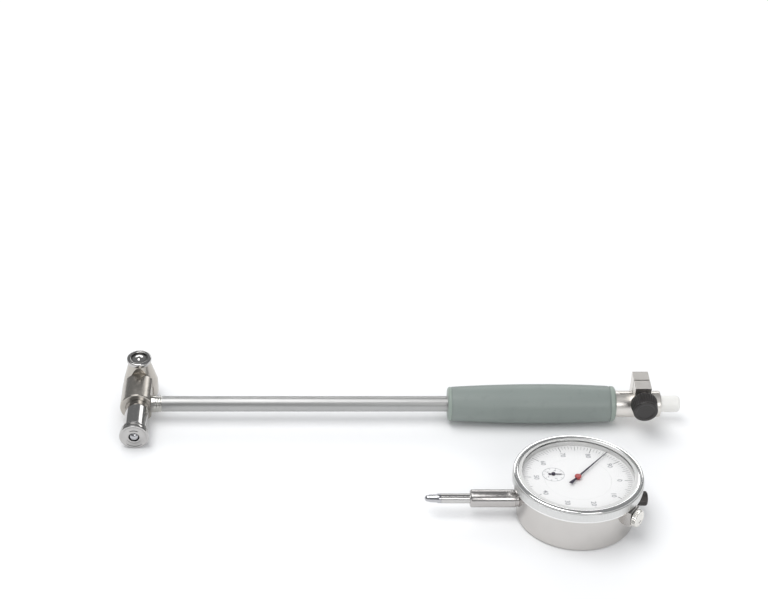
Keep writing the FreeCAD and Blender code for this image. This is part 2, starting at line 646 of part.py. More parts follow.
def make_indicator_collar():
    """The split collar that clamps the indicator's stem, with its pinch block on top."""
    body = new_body("Body_indicator_collar")
    tail_start = grip_end - S.collar_tail
    turn(body, "collar_turning", "X", [
        Corner(tail_start, S.tube_radius), Corner(tail_start, S.collar_tail_radius),
        Corner(grip_end, S.collar_tail_radius), Corner(grip_end, S.collar_radius),
        Corner(collar_end, S.collar_radius, S.plug_chamfer), Corner(collar_end, collar_bore),
        Corner(tube_end, collar_bore), Corner(tube_end, S.tube_radius)])
    block = new_sketch(body, "ear_outline", "XY_Plane")
    add_outline(block, box_outline(ear_middle - S.ear_width / 2, ear_middle + S.ear_width / 2,
                                   -S.ear_depth / 2, S.ear_depth / 2))
    raise_pad(body, "ear_block", block, S.ear_height)
    bore = new_sketch(body, "stem_bore_circle", "YZ_Plane", (0, 0, tube_end))
    add_circle(bore, 0, 0, collar_bore)
    cut_pocket(body, "stem_bore", bore, S.collar_length + S.collar_tail, reverse=True)
    slit = new_sketch(body, "slit_outline", "XY_Plane")
    add_outline(slit, box_outline(grip_end + 2, collar_end + 1, -S.slit_width / 2, S.slit_width / 2))
    cut_pocket(body, "slit", slit, S.ear_height + 1, reverse=True)
    shift = (ear_middle, 0, S.clamp_height)
    turn(body, "clamp_screw_bore", "Y", [
        Corner(-S.ear_depth, 0), Corner(-S.ear_depth, S.clamp_screw_radius + S.running_gap),
        Corner(S.ear_depth / 2 - 1, S.clamp_screw_radius + S.running_gap),
        Corner(S.ear_depth / 2 - 1, 0)], shift, cut=True)
    return put(body, "indicator_collar", holder_place)


def make_clamp_knob():
    """The moulded thumb knob of the clamp screw, finely fluted round its rim."""
    body = new_body("Body_clamp_knob")
    shift = (ear_middle, 0, S.clamp_height)
    neck = S.ear_depth / 2 + S.slide_gap
    back = neck + S.knob_neck_length
    front = neck + S.knob_length + S.knob_neck_length
    turn(body, "knob_turning", "Y", [
        Corner(-front, 0), Corner(-front, S.knob_front_radius, S.head_round / 2),
        Corner(-front + 1.2, S.knob_front_radius), Corner(-back - 1.2, S.knob_radius),
        Corner(-back, S.knob_radius - 0.8), Corner(-back, S.knob_neck_radius),
        Corner(-neck, S.knob_neck_radius), Corner(-neck, S.clamp_screw_radius),
        Corner(-front + 2, S.clamp_screw_radius), Corner(-front + 2, 0)], shift)
    return put(body, "clamp_knob", holder_place)


def make_clamp_screw():
    front = S.ear_depth / 2 + S.slide_gap + S.knob_length + S.knob_neck_length
    shift = (ear_middle, 0, S.clamp_height)
    return turned_part("clamp_screw", "Y", [
        Corner(-front + 2, 0), Corner(-front + 2, S.clamp_screw_radius),
        Corner(S.ear_depth / 2 - 1.2, S.clamp_screw_radius), Corner(S.ear_depth / 2 - 1.2, 0)],
        holder_place, shift)


def make_transit_plug():
    """The plastic plug that keeps dirt out of the collar while the indicator is off."""
    start = holder_end - S.plug_length
    plug_radius = S.indicator_stem_radius
    return turned_part("transit_plug", "X", [
        Corner(start, S.push_rod_radius + 2 * S.rest_gap), Corner(start, plug_radius, S.plug_chamfer),
        Corner(holder_end, plug_radius, S.plug_chamfer), Corner(holder_end, 0),
        Corner(push_end + S.contact_travel + 2 * S.rest_gap, 0),
        Corner(push_end + S.contact_travel + 2 * S.rest_gap, S.push_rod_radius + 2 * S.rest_gap)],
        holder_place)


def make_spring(label, axis, start, end, radius, wire, turns):
    """A coil spring of square wire about an axis of the holder's frame, faceted along its turns."""
    steps_each_turn = 12
    steps = turns * steps_each_turn
    low, high = start.value + wire.value, end.value - wire.value
    half = wire.value

    def section(step):
        angle = 2 * math.pi * step / steps_each_turn
        along = low + (high - low) * step / steps
        ring = []
        for out, up in ((-half, -half), (half, -half), (half, half), (-half, half)):
            reach = radius.value + out
            across, side = reach * math.cos(angle), reach * math.sin(angle)
            level = along + up
            ring.append(Vector(level, across, side) if axis == "X" else Vector(side, level, across))
        return ring

    sections = [section(step) for step in range(steps + 1)]
    faces = []
    for near, far in zip(sections, sections[1:]):
        for corner in range(4):
            a, b = near[corner], near[(corner + 1) % 4]
            c, d = far[(corner + 1) % 4], far[corner]
            faces.append(Part.Face(Part.makePolygon([a, b, c, a])))
            faces.append(Part.Face(Part.makePolygon([a, c, d, a])))
    for ring in (sections[0], sections[-1]):
        faces.append(Part.Face(Part.makePolygon(ring + ring[:1])))
    coil = Part.Solid(Part.Shell(faces))
    if coil.Volume < 0:
        coil.reverse()
    feature = doc.addObject("Part::Feature", label)
    feature.Shape = coil
    return put(feature, label, holder_place)


def make_holder():
    make_head_body()
    make_centring_sleeve()
    make_measuring_contact()
    make_bell_crank()
    make_crank_pin()
    make_anvil_block()
    make_fixed_anvil()
    make_lock_ring()
    make_lock_screw()
    make_rod_ferrule()
    make_stem_tube()
    make_push_rod()
    make_grip()
    make_indicator_collar()
    make_clamp_knob()
    make_clamp_screw()
    make_transit_plug()
    wire = S.spring_wire
    make_spring("centring_spring", "Y", -S.flange_reach + S.front_wall + S.sleeve_travel + S.slide_gap,
                -S.snout_reach, S.contact_radius + S.slide_gap + 2 * wire, wire, 3)
    make_spring("push_rod_spring", "X",
                push_head_at + S.push_head_length + S.contact_travel + S.free_gap,
                holder_end - S.plug_length, S.push_rod_radius + S.free_gap + 2 * wire, wire, 3)


# ---------------------------------------------------------------- indicator housing

case_inside = S.case_radius - S.case_wall
spindle_bore = S.spindle_radius + S.slide_gap
stub_radius = S.indicator_stem_radius - S.indicator_stub_step
web_bottom = S.case_front - S.web_depth
dial_back = S.dial_face - S.dial_thickness
transfer_distance = S.gear_module * (S.transfer_teeth + S.centre_teeth) / 2
transfer_along = -root(transfer_distance * transfer_distance - S.transfer_side * S.transfer_side)
takeup_distance = S.gear_module * (S.takeup_teeth + S.centre_teeth) / 2
takeup_along = takeup_distance * cosine(S.takeup_angle)
takeup_beside = takeup_distance * sine(S.takeup_angle)
arbor_bore = S.arbor_radius + S.running_gap
lug_inner = S.case_radius
lug_outer = S.case_radius + S.lug_depth


def make_indicator_case():
    """The round case: wall, front web with a neck for the bezel and a pedestal for the dial."""
    body = new_body("Body_indicator_case")
    neck_top = S.case_front + S.neck_height
    turn(body, "case_turning", "Z", [
        Corner(-S.stem_height + S.back_thickness, case_inside),
        Corner(-S.stem_height + S.back_thickness, S.case_radius),
        Corner(S.case_front, S.case_radius, S.head_round), Corner(S.case_front, S.neck_radius),
        Corner(neck_top, S.neck_radius), Corner(neck_top, S.neck_radius - S.case_wall),
        Corner(S.case_front, S.neck_radius - S.case_wall), Corner(S.case_front, S.pedestal_radius),
        Corner(dial_back, S.pedestal_radius), Corner(dial_back, S.pedestal_radius - S.pedestal_wall),
        Corner(S.case_front, S.pedestal_radius - S.pedestal_wall), Corner(S.case_front, 0),
        Corner(web_bottom, 0), Corner(web_bottom, case_inside)])
    holes = new_sketch(body, "arbor_hole_circles", "XY_Plane", (0, 0, web_bottom))
    add_circle(holes, 0, 0, 3 * S.arbor_radius)
    add_circle(holes, transfer_along, S.transfer_side, 3 * S.arbor_radius)
    cut_pocket(body, "arbor_holes", holes, S.web_depth + 1, reverse=True)
    turn(body, "stem_hole", "X", [
        Corner(-S.case_radius - 1, 0), Corner(-S.case_radius - 1, stub_radius),
        Corner(0, stub_radius), Corner(0, 0)], cut=True)
    turn(body, "bush_hole", "X", [
        Corner(0, 0), Corner(0, S.bush_radius), Corner(S.case_radius + 1, S.bush_radius),
        Corner(S.case_radius + 1, 0)], cut=True)
    return put(body, "indicator_case", indicator_place)


def make_back_plate():
    """The flat back, let into the case's rim and held by screws."""
    body = new_body("Body_back_plate")
    turn(body, "back_turning", "Z", [
        Corner(-S.stem_height, 0), Corner(-S.stem_height, S.case_radius - S.back_rim),
        Corner(-S.stem_height + S.back_rim, S.case_radius),
        Corner(-S.stem_height + S.back_thickness, S.case_radius),
        Corner(-S.stem_height + S.back_thickness, 0)])
    hole = new_sketch(body, "back_screw_hole", "XY_Plane", (0, 0, -S.stem_height))
    add_circle(hole, S.case_radius - S.back_screw_inset, 0, S.back_screw_radius)
    seat = cut_pocket(body, "back_screw_seat", hole, S.back_thickness + 1, reverse=True)
    repeat_round(body, "back_screw_seats", seat, hole, "N_Axis", 4)
    return put(body, "back_plate", indicator_place)


def make_back_screws():
    """Four pan-head screws, sunk flush in the back and driven into posts of the case."""
    screw = doc.addObject("Part::Cylinder", "back_screw_blank")
    bind(screw, "Radius", S.back_screw_radius)
    bind(screw, "Height", S.back_thickness + 2)
    slot = doc.addObject("Part::Box", "back_screw_slot")
    bind(slot, "Length", 2 * S.back_screw_radius + 1)
    bind(slot, "Width", S.back_screw_radius * 0.3)
    bind(slot, "Height", S.back_thickness / 2)
    bind(slot, "Placement.Base.x", -S.back_screw_radius - 0.5)
    bind(slot, "Placement.Base.y", -S.back_screw_radius * 0.15)
    bind(slot, "Placement.Base.z", Size.of(-0.3))
    cut = doc.addObject("Part::Cut", "back_screw_cut")
    cut.Base = screw
    cut.Tool = slot
    doc.recompute()
    shapes = []
    for index in range(4):
        angle = math.radians(90 * index)
        shape = cut.Shape.copy()
        circle = (S.case_radius - S.back_screw_inset).value
        shape.translate(Vector(circle * math.cos(angle), circle * math.sin(angle),
                               -S.stem_height.value + 0.05))
        shapes.append(shape)
    group = doc.addObject("Part::Feature", "back_screws")
    group.Shape = Part.makeCompound(shapes)
    return put(group, "back_screws", indicator_place)


def make_indicator_stem():
    """The ground clamping stem, flanged inside the case and bored for the spindle."""
    inner_end = case_inside - 0.8
    shoulder = S.case_radius + S.rest_gap
    return turned_part("indicator_stem", "X", [
        Corner(-S.indicator_stem_reach, spindle_bore),
        Corner(-S.indicator_stem_reach, S.indicator_stem_radius, S.plug_chamfer / 2),
        Corner(-shoulder, S.indicator_stem_radius), Corner(-shoulder, stub_radius),
        Corner(-inner_end, stub_radius), Corner(-inner_end, spindle_bore)], indicator_place)


def make_upper_bush():
    """The bush that guides the spindle's tail, threaded outside for the cap."""
    return turned_part("upper_bush", "X", [
        Corner(case_inside - 6, spindle_bore), Corner(case_inside - 6, S.bush_radius),
        Corner(S.case_radius, S.bush_radius), Corner(S.case_radius, S.bush_radius - 0.4),
        Corner(S.cap_reach - 3, S.bush_radius - 0.4), Corner(S.cap_reach - 3, spindle_bore)],
        indicator_place)


def make_spindle_cap():
    """The knurled cap over the spindle's tail."""
    return turned_part("spindle_cap", "X", [
        Corner(S.case_radius + 0.3, S.bush_radius - 0.4), Corner(S.case_radius + 0.3, S.cap_radius),
        Corner(S.cap_reach, S.cap_radius, S.head_round), Corner(S.cap_reach, 0),
        Corner(S.cap_reach - 0.8, 0), Corner(S.cap_reach - 0.8, S.bush_radius - 0.4)], indicator_place)


rack_pitch = S.spindle_travel / S.rack_pinion_teeth
rack_pinion_radius = S.spindle_travel / (2 * math.pi)
rack_line = S.transfer_side - rack_pinion_radius
ADDENDUM, DEDENDUM = 0.8, 1.1
TIP_SHARE, PITCH_SHARE, FOOT_SHARE = 0.24, 0.42, 0.6


def gear_face(teeth, module, first_tooth, height):
    """The outline of a spur gear with straight-flanked teeth, one tooth centred at an angle."""
    pitch_radius = teeth * module / 2
    step = 2 * math.pi / teeth
    foot = pitch_radius - DEDENDUM * module
    tip = pitch_radius + ADDENDUM * module
    points = []
    for index in range(teeth):
        middle = math.radians(first_tooth) + index * step
        for radius, share in ((foot, -FOOT_SHARE), (tip, -TIP_SHARE), (tip, TIP_SHARE), (foot, FOOT_SHARE)):
            angle = middle + share * step / 2
            points.append(Vector(radius * math.cos(angle), radius * math.sin(angle), height))
    points.append(points[0])
    return Part.Face(Part.makePolygon(points))


def rod(radius, bottom, top):
    return Part.makeCylinder(radius, top - bottom, Vector(0, 0, bottom))


def shaped(label, shape, place):
    """A sub-part made with Part's own functions, then laid in its place."""
    feature = doc.addObject("Part::Feature", label)
    feature.Shape = shape
    return put(feature, label, place)


def make_spindle():
    """The ground spindle, with the rack cut in its side and a threaded hole for the contact."""
    pitch = rack_pitch.value
    module = pitch / math.pi
    foot = rack_line.value - DEDENDUM * module
    tip = rack_line.value + ADDENDUM * module
    reach = 2 * S.spindle_radius.value
    teeth = int(S.rack_teeth.value)
    bar = Part.makeCylinder(S.spindle_radius.value, (S.spindle_reach + S.spindle_tail).value,
                            Vector(-S.spindle_reach.value, 0, 0), X_AXIS)
    rack_end = transfer_along.value + pitch * 3.5
    rack_length = pitch * teeth
    crest = Part.makeBox(rack_length, reach, 2 * reach, Vector(rack_end - rack_length, tip, -reach))
    gaps = [crest]
    for index in range(teeth):
        middle = transfer_along.value + pitch * (3 - index)
        narrow = pitch * (1 - FOOT_SHARE) / 2
        wide = pitch * (1 - TIP_SHARE) / 2
        points = [Vector(middle - narrow, foot, -reach), Vector(middle + narrow, foot, -reach),
                  Vector(middle + wide, tip, -reach), Vector(middle - wide, tip, -reach)]
        points.append(points[0])
        gaps.append(Part.Face(Part.makePolygon(points)).extrude(Vector(0, 0, 2 * reach)))
    hole = Part.makeCylinder(1.2, 5, Vector(-S.spindle_reach.value, 0, 0), X_AXIS)
    return shaped("spindle", bar.cut(gaps).cut(hole), indicator_place)


def make_contact_point():
    """The screw-in contact point with its flange, taper and ball."""
    flange = S.spindle_reach + 1.6
    reach = S.spindle_reach + S.contact_point_length
    ball_centre = reach - S.contact_point_ball
    return turned_part("contact_point", "X", [
        Corner(-reach, 0), Bulge(S.contact_point_ball, -1),
        Corner(-ball_centre, S.contact_point_ball), Corner(-flange, S.contact_point_radius * 0.85),
        Corner(-flange, S.contact_point_radius), Corner(-S.spindle_reach, S.contact_point_radius),
        Corner(-S.spindle_reach, 1.2), Corner(-S.spindle_reach + 4, 1.2), Corner(-S.spindle_reach + 4, 0)],
        indicator_place)


def toward(along, beside):
    return math.degrees(math.atan2(beside.value, along.value))


centre_gap_angle = toward(transfer_along, S.transfer_side)
gear_top = S.gear_level + S.gear_thickness
upper_plate = web_bottom - S.plate_thickness


def make_transfer_arbor():
    """The arbor beside the spindle: rack pinion below, large transfer gear between the plates."""
    module = rack_pitch.value / math.pi
    spindle_top = S.spindle_radius.value
    pinion = gear_face(int(S.rack_pinion_teeth.value), module, -90, -spindle_top * 0.6)
    pinion = pinion.extrude(Vector(0, 0, spindle_top * 1.2 + 0.2))
    wheel = gear_face(int(S.transfer_teeth.value), S.gear_module.value,
                      toward(-transfer_along, -S.transfer_side), S.gear_level.value)
    wheel = wheel.extrude(Vector(0, 0, S.gear_thickness.value))
    bar = rod(S.arbor_radius.value, -spindle_top * 0.6, S.dial_face.value + 0.5)
    shape = bar.fuse([pinion, wheel]).removeSplitter()
    return shaped("transfer_arbor", shape, beside_holder(transfer_along, S.transfer_side))


def make_centre_arbor():
    """The pointer's arbor with its small pinion."""
    step = 180 / int(S.centre_teeth.value)
    pinion = gear_face(int(S.centre_teeth.value), S.gear_module.value, centre_gap_angle + step,
                       S.gear_level.value - 0.2)
    pinion = pinion.extrude(Vector(0, 0, S.gear_thickness.value + 0.4))
    bar = rod(S.arbor_radius.value, S.lower_plate.value + 0.1, (S.dial_face + S.hub_height).value - 0.3)
    return shaped("centre_arbor", bar.fuse(pinion).removeSplitter(), indicator_place)


def make_takeup_gear():
    """The gear that the hairspring holds against the pinion, to take up its backlash."""
    teeth = int(S.takeup_teeth.value)
    pinion_step = 360 / int(S.centre_teeth.value)
    past_gap = (S.takeup_angle.value - centre_gap_angle) % pinion_step
    first = S.takeup_angle.value + 180 + past_gap * S.centre_teeth.value / teeth
    wheel = gear_face(teeth, S.gear_module.value, first, S.gear_level.value)
    wheel = wheel.extrude(Vector(0, 0, S.gear_thickness.value))
    bar = rod(S.arbor_radius.value, S.lower_plate.value + 0.1, upper_plate.value + 0.6)
    collet = rod(2 * S.arbor_radius.value, gear_top.value, upper_plate.value - 0.3)
    shape = bar.fuse([wheel, collet]).removeSplitter()
    return shaped("takeup_gear", shape, beside_holder(takeup_along, takeup_beside))


def make_hairspring():
    """The flat spiral hairspring on the take-up gear's collet."""
    turns, pitch, width, points_each_turn = 5, 0.62, 0.12, 24
    level = gear_top.value + 0.25
    inner = 2 * S.arbor_radius.value
    count = turns * points_each_turn

    def spiral(offset):
        line = []
        for index in range(count + 1):
            angle = 2 * math.pi * index / points_each_turn
            radius = inner + pitch * index / points_each_turn + offset
            line.append(Vector(radius * math.cos(angle), radius * math.sin(angle), level))
        return line

    points = spiral(0) + spiral(width)[::-1]
    points.append(points[0])
    strip = Part.Face(Part.makePolygon(points)).extrude(Vector(0, 0, 0.4))
    return shaped("hairspring", strip, beside_holder(takeup_along, takeup_beside))


def pillar_spots():
    """Where the movement's pillars stand, clear of the gears and the spindle."""
    spots = []
    for degrees in (50, 100, 240, 315):
        angle = math.radians(degrees)
        spots.append(Vector(S.pillar_circle.value * math.cos(angle),
                            S.pillar_circle.value * math.sin(angle), 0))
    return spots


def movement_outline(bottom):
    """A round plate with a window beside the arbors, as movement plates have."""
    height = S.plate_thickness.value
    plate = Part.makeCylinder(S.plate_radius.value, height, Vector(0, 0, bottom))
    window = Part.makeBox(12, 8, height, Vector(6, 1, bottom))
    return plate.cut(window)


def make_movement_plates():
    """The lower plate and the bridge, which carry the arbors between them."""
    bore = arbor_bore.value
    arbors = [(0, 0), (transfer_along.value, S.transfer_side.value),
              (takeup_along.value, takeup_beside.value)]
    for label, bottom in (("movement_plate", S.lower_plate.value), ("bridge_plate", upper_plate.value)):
        plate = movement_outline(bottom)
        holes = [Part.makeCylinder(bore, 2, Vector(x, y, bottom - 0.5)) for x, y in arbors]
        shaped(label, plate.cut(holes), indicator_place)


def make_movement_pillars():
    """The pillars between the plates, and the screws that hold the lower plate to them."""
    low = (S.lower_plate + S.plate_thickness).value
    pillars, screws = [], []
    for spot in pillar_spots():
        pillars.append(Part.makeCylinder(S.pillar_radius.value, upper_plate.value - low,
                                         spot + Vector(0, 0, low)))
        head = Part.makeCylinder(S.pillar_radius.value, S.plate_thickness.value,
                                 spot + Vector(0, 0, S.lower_plate.value - S.plate_thickness.value))
        screws.append(head)
    shaped("movement_pillars", Part.makeCompound(pillars), indicator_place)
    shaped("movement_screws", Part.makeCompound(screws), indicator_place)


# ---------------------------------------------------------------- dial, pointers and bezel

bezel_bore = S.neck_radius + S.slide_gap
crystal_top = S.bezel_top - S.crystal_setback


def make_inner_dial():
    """The fixed middle of the dial, on the case's pedestal, with holes for the two arbors."""
    body = new_body("Body_inner_dial")
    turn(body, "inner_dial_turning", "Z", [
        Corner(dial_back, 0), Corner(dial_back, S.inner_dial_radius),
        Corner(S.dial_face, S.inner_dial_radius), Corner(S.dial_face, 0)])
    holes = new_sketch(body, "dial_hole_circles", "XY_Plane", (0, 0, dial_back))
    add_circle(holes, 0, 0, 2 * S.arbor_radius)
    add_circle(holes, transfer_along, S.transfer_side, 2 * S.arbor_radius)
    cut_pocket(body, "dial_holes", holes, 2 * S.dial_thickness, reverse=True)
    return put(body, "inner_dial", indicator_place)


def make_scale_ring():
    """The outer ring of the dial, which carries the scale round with the bezel."""
    inner = S.inner_dial_radius + S.slide_gap
    return turned_part("scale_ring", "Z", [
        Corner(dial_back, inner), Corner(dial_back, bezel_bore), Corner(S.dial_face, bezel_bore),
        Corner(S.dial_face, inner)], indicator_place)


def make_bezel():
    """The turned bezel: skirt round the case's neck, seat for the crystal, rounded top rim."""
    crystal_under = crystal_top - S.crystal_thickness
    waist = S.bezel_radius - 0.5
    return turned_part("bezel", "Z", [
        Corner(S.bezel_bottom, bezel_bore), Corner(S.bezel_bottom, waist),
        Corner(S.bezel_bottom + 0.8, S.bezel_radius), Corner(S.bezel_top - 0.9, S.bezel_radius),
        Corner(S.bezel_top - 0.3, waist), Corner(S.bezel_top, waist - 0.3),
        Corner(S.bezel_top, S.crystal_radius + 0.4), Corner(crystal_top + 0.05, S.bezel_opening),
        Corner(crystal_top, S.bezel_opening), Corner(crystal_top, S.crystal_radius),
        Corner(crystal_under, S.crystal_radius), Corner(crystal_under, bezel_bore)], indicator_place)


def make_crystal():
    under = crystal_top - S.crystal_thickness
    return turned_part("crystal", "Z", [
        Corner(under, 0), Corner(under, S.crystal_radius), Corner(crystal_top, S.crystal_radius),
        Corner(crystal_top, 0)], indicator_place)


def needle(length, tail, tip_width, root_width, thickness, bottom):
    """A tapering pointer along +X, with a wider counterpoise behind its hub."""
    points = [Vector(length, -tip_width / 2, bottom), Vector(length, tip_width / 2, bottom),
              Vector(0, root_width / 2, bottom), Vector(-tail * 0.35, root_width / 2, bottom),
              Vector(-tail, root_width * 0.9, bottom), Vector(-tail, -root_width * 0.9, bottom),
              Vector(-tail * 0.35, -root_width / 2, bottom), Vector(0, -root_width / 2, bottom)]
    points.append(points[0])
    return Part.Face(Part.makePolygon(points)).extrude(Vector(0, 0, thickness))


def make_main_pointer():
    bottom = (S.dial_face + S.pointer_height).value
    blade = needle(S.pointer_length.value, S.pointer_tail.value, 0.25, 0.95,
                   S.pointer_thickness.value, bottom)
    hole = rod(S.arbor_radius.value, bottom - 1, bottom + 1)
    return shaped("main_pointer", blade.cut(hole), beside_holder(spin=S.pointer_angle))


def make_pointer_hub():
    """The pointer's hub, pressed on the arbor under and over the blade."""
    bottom = (S.dial_face + 0.3).value
    under = (S.dial_face + S.pointer_height).value
    over = under + S.pointer_thickness.value
    top = (S.dial_face + S.hub_height).value
    radius = S.hub_radius.value
    bore = S.arbor_radius.value
    lower = rod(radius * 0.7, bottom, under).cut(rod(bore, bottom - 1, under + 1))
    upper = rod(radius, over, top)
    edges = [edge for edge in upper.Edges if abs(edge.BoundBox.ZMin - top) < 1e-6]
    upper = upper.makeFillet(min(0.3, (top - over) / 2), edges)
    upper = upper.cut(rod(bore, over - 1, top - 0.3))
    collar = rod(radius * 0.7, under, over).cut(rod(bore, under - 1, over + 1))
    blade = needle(S.pointer_length.value, S.pointer_tail.value, 0.25, 0.95,
                   S.pointer_thickness.value, under)
    hub = lower.fuse([collar.cut(blade), upper]).removeSplitter()
    return shaped("pointer_hub", hub, beside_holder(spin=S.pointer_angle))


def make_small_pointer():
    """The revolution counter's pointer with its little hub."""
    bottom = S.dial_face.value + 0.2
    blade = needle(S.small_pointer_length.value, 2.2, 0.2, 0.6, S.pointer_thickness.value, bottom)
    hub = rod(0.85, bottom, bottom + 0.6)
    bore = rod(S.arbor_radius.value, bottom - 1, S.dial_face.value + 0.5)
    return shaped("small_pointer", blade.fuse(hub).removeSplitter().cut(bore),
                  beside_holder(transfer_along, S.transfer_side))


def make_bezel_lock():
    """The lug on the case's side and the knurled screw that locks the bezel."""
    place = beside_holder(spin=S.lock_angle)
    lug = new_body("Body_bezel_lock_lug")
    low = S.lock_height - S.lug_depth
    high = S.bezel_bottom - S.rest_gap
    outline = new_sketch(lug, "lug_outline", "XY_Plane", (0, 0, low))
    add_outline(outline, box_outline(S.case_radius - 2, lug_outer, -S.lug_width / 2, S.lug_width / 2))
    raise_pad(lug, "lug_block", outline, high - low)
    seat = new_sketch(lug, "case_circle", "XY_Plane", (0, 0, low - 1))
    add_circle(seat, 0, 0, S.case_radius)
    cut_pocket(lug, "case_seat", seat, high - low + 2, reverse=True)
    turn(lug, "lock_screw_hole", "X", [
        Corner(S.case_radius - 2, 0), Corner(S.case_radius - 2, S.bezel_lock_shank + S.running_gap),
        Corner(lug_outer + 1, S.bezel_lock_shank + S.running_gap), Corner(lug_outer + 1, 0)],
        (0, 0, S.lock_height), cut=True)
    put(lug, "bezel_lock_lug", place)
    start = lug_outer + S.rest_gap
    end = start + S.bezel_lock_width
    turned_part("bezel_lock_screw", "X", [
        Corner(S.case_radius + S.rest_gap, 0), Corner(S.case_radius + S.rest_gap, S.bezel_lock_shank),
        Corner(start, S.bezel_lock_shank), Corner(start, S.bezel_lock_radius, S.rest_gap),
        Corner(end, S.bezel_lock_radius, S.rest_gap), Corner(end, 0)], place, (0, 0, S.lock_height))


def make_indicator():
    make_indicator_case()
    make_back_plate()
    make_back_screws()
    make_indicator_stem()
    make_upper_bush()
    make_spindle_cap()
    make_spindle()
    make_contact_point()
    make_transfer_arbor()
    make_centre_arbor()
    make_takeup_gear()
    make_hairspring()
    make_movement_plates()
    make_movement_pillars()
    make_inner_dial()
    make_scale_ring()
    make_bezel()
    make_crystal()
    make_main_pointer()
    make_pointer_hub()
    make_small_pointer()
    make_bezel_lock()


def check_and_export():
    """Stops on any failed feature or bad shape, then writes one file for each sub-part."""
    doc.recompute()
    for item in doc.Objects:
        if "Invalid" in item.State or "Error" in item.State:
            raise RuntimeError(f"{item.Name} did not build: {item.State}")
    os.makedirs("parts", exist_ok=True)
    for node in nodes:
        if node.Shape.isNull() or not node.Shape.isValid():
            raise RuntimeError(f"{node.Label} has no valid shape")
    for node in nodes:
        node.Shape.exportStep(f"parts/{node.Label}.step")
    print(len(nodes), "sub-parts written")


make_holder()
make_indicator()
check_and_export()
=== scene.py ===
"""Looks of the dial bore gauge: finishes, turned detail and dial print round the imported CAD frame.

The holder and its dial indicator lie side by side on a pale floor. Every size
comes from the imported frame's nodes or from the named fields of the builders
below, in millimetres in the frame of each tool, and in metres once placed.
"""

import json
import logging
import math
from dataclasses import dataclass, field
from enum import Enum
from typing import Callable, Sequence

import bmesh
import bpy
from mathutils import Matrix, Vector

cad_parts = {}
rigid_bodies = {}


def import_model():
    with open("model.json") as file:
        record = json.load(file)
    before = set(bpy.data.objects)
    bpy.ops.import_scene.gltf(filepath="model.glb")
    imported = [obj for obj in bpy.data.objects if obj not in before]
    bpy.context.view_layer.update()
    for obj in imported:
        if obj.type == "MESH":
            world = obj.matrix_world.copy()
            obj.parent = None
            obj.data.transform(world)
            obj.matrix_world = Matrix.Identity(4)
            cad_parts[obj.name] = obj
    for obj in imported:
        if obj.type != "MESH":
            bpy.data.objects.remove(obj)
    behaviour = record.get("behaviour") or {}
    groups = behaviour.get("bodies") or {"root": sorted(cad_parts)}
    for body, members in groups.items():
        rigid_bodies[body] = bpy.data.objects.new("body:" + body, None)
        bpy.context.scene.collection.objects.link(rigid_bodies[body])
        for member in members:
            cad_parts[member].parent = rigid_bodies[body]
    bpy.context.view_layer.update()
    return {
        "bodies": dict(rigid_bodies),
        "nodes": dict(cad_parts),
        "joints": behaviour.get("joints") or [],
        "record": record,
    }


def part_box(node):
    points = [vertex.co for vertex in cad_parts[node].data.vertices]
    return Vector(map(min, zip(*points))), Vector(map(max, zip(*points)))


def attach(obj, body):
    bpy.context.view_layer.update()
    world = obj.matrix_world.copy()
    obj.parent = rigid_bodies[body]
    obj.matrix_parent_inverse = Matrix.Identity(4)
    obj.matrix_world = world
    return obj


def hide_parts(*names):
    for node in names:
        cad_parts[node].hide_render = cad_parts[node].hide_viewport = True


LOG = logging.getLogger("bore_gauge")
MM = 0.001


class Axis(Enum):
    """The axis of a seat that a turned piece revolves about."""

    X = 0
    Y = 1
    Z = 2


# ---------------------------------------------------------------- where things are


@dataclass(frozen=True)
class Seat:
    """A local frame in the row frame: pieces are drawn in it in millimetres."""

    matrix: Matrix

    @classmethod
    def at(cls, origin: Vector, roll: float = 0.0, spin: float = 0.0) -> "Seat":
        """Makes a seat.

        Args:
            origin: where the seat's origin lies, in metres.
            roll: turn about X, in radians.
            spin: turn about Z, in radians.

        Returns:
            The seat, which scales millimetres to metres.
        """
        turn = Matrix.Rotation(spin, 4, "Z") @ Matrix.Rotation(roll, 4, "X")
        return cls(Matrix.Translation(origin) @ turn @ Matrix.Scale(MM, 4))

    def shifted(self, along: float = 0.0, beside: float = 0.0, up: float = 0.0,
                spin: float = 0.0) -> "Seat":
        """Returns a seat moved, and turned about its own Z, in millimetres and radians."""
        return Seat(self.matrix @ Matrix.Translation((along, beside, up)) @ Matrix.Rotation(spin, 4, "Z"))

    def place(self, along: float, beside: float, up: float) -> Vector:
        """Returns a point of the seat in the row frame, in metres."""
        return self.matrix @ Vector((along, beside, up))

    def extent(self, node: bpy.types.Object) -> tuple[Vector, Vector]:
        """Returns the lowest and highest corner of a CAD node in this seat, in millimetres."""
        inverse = self.matrix.inverted()
        points = [inverse @ vertex.co for vertex in node.data.vertices]
        low = Vector([min(point[axis] for point in points) for axis in range(3)])
        high = Vector([max(point[axis] for point in points) for axis in range(3)])
        return low, high


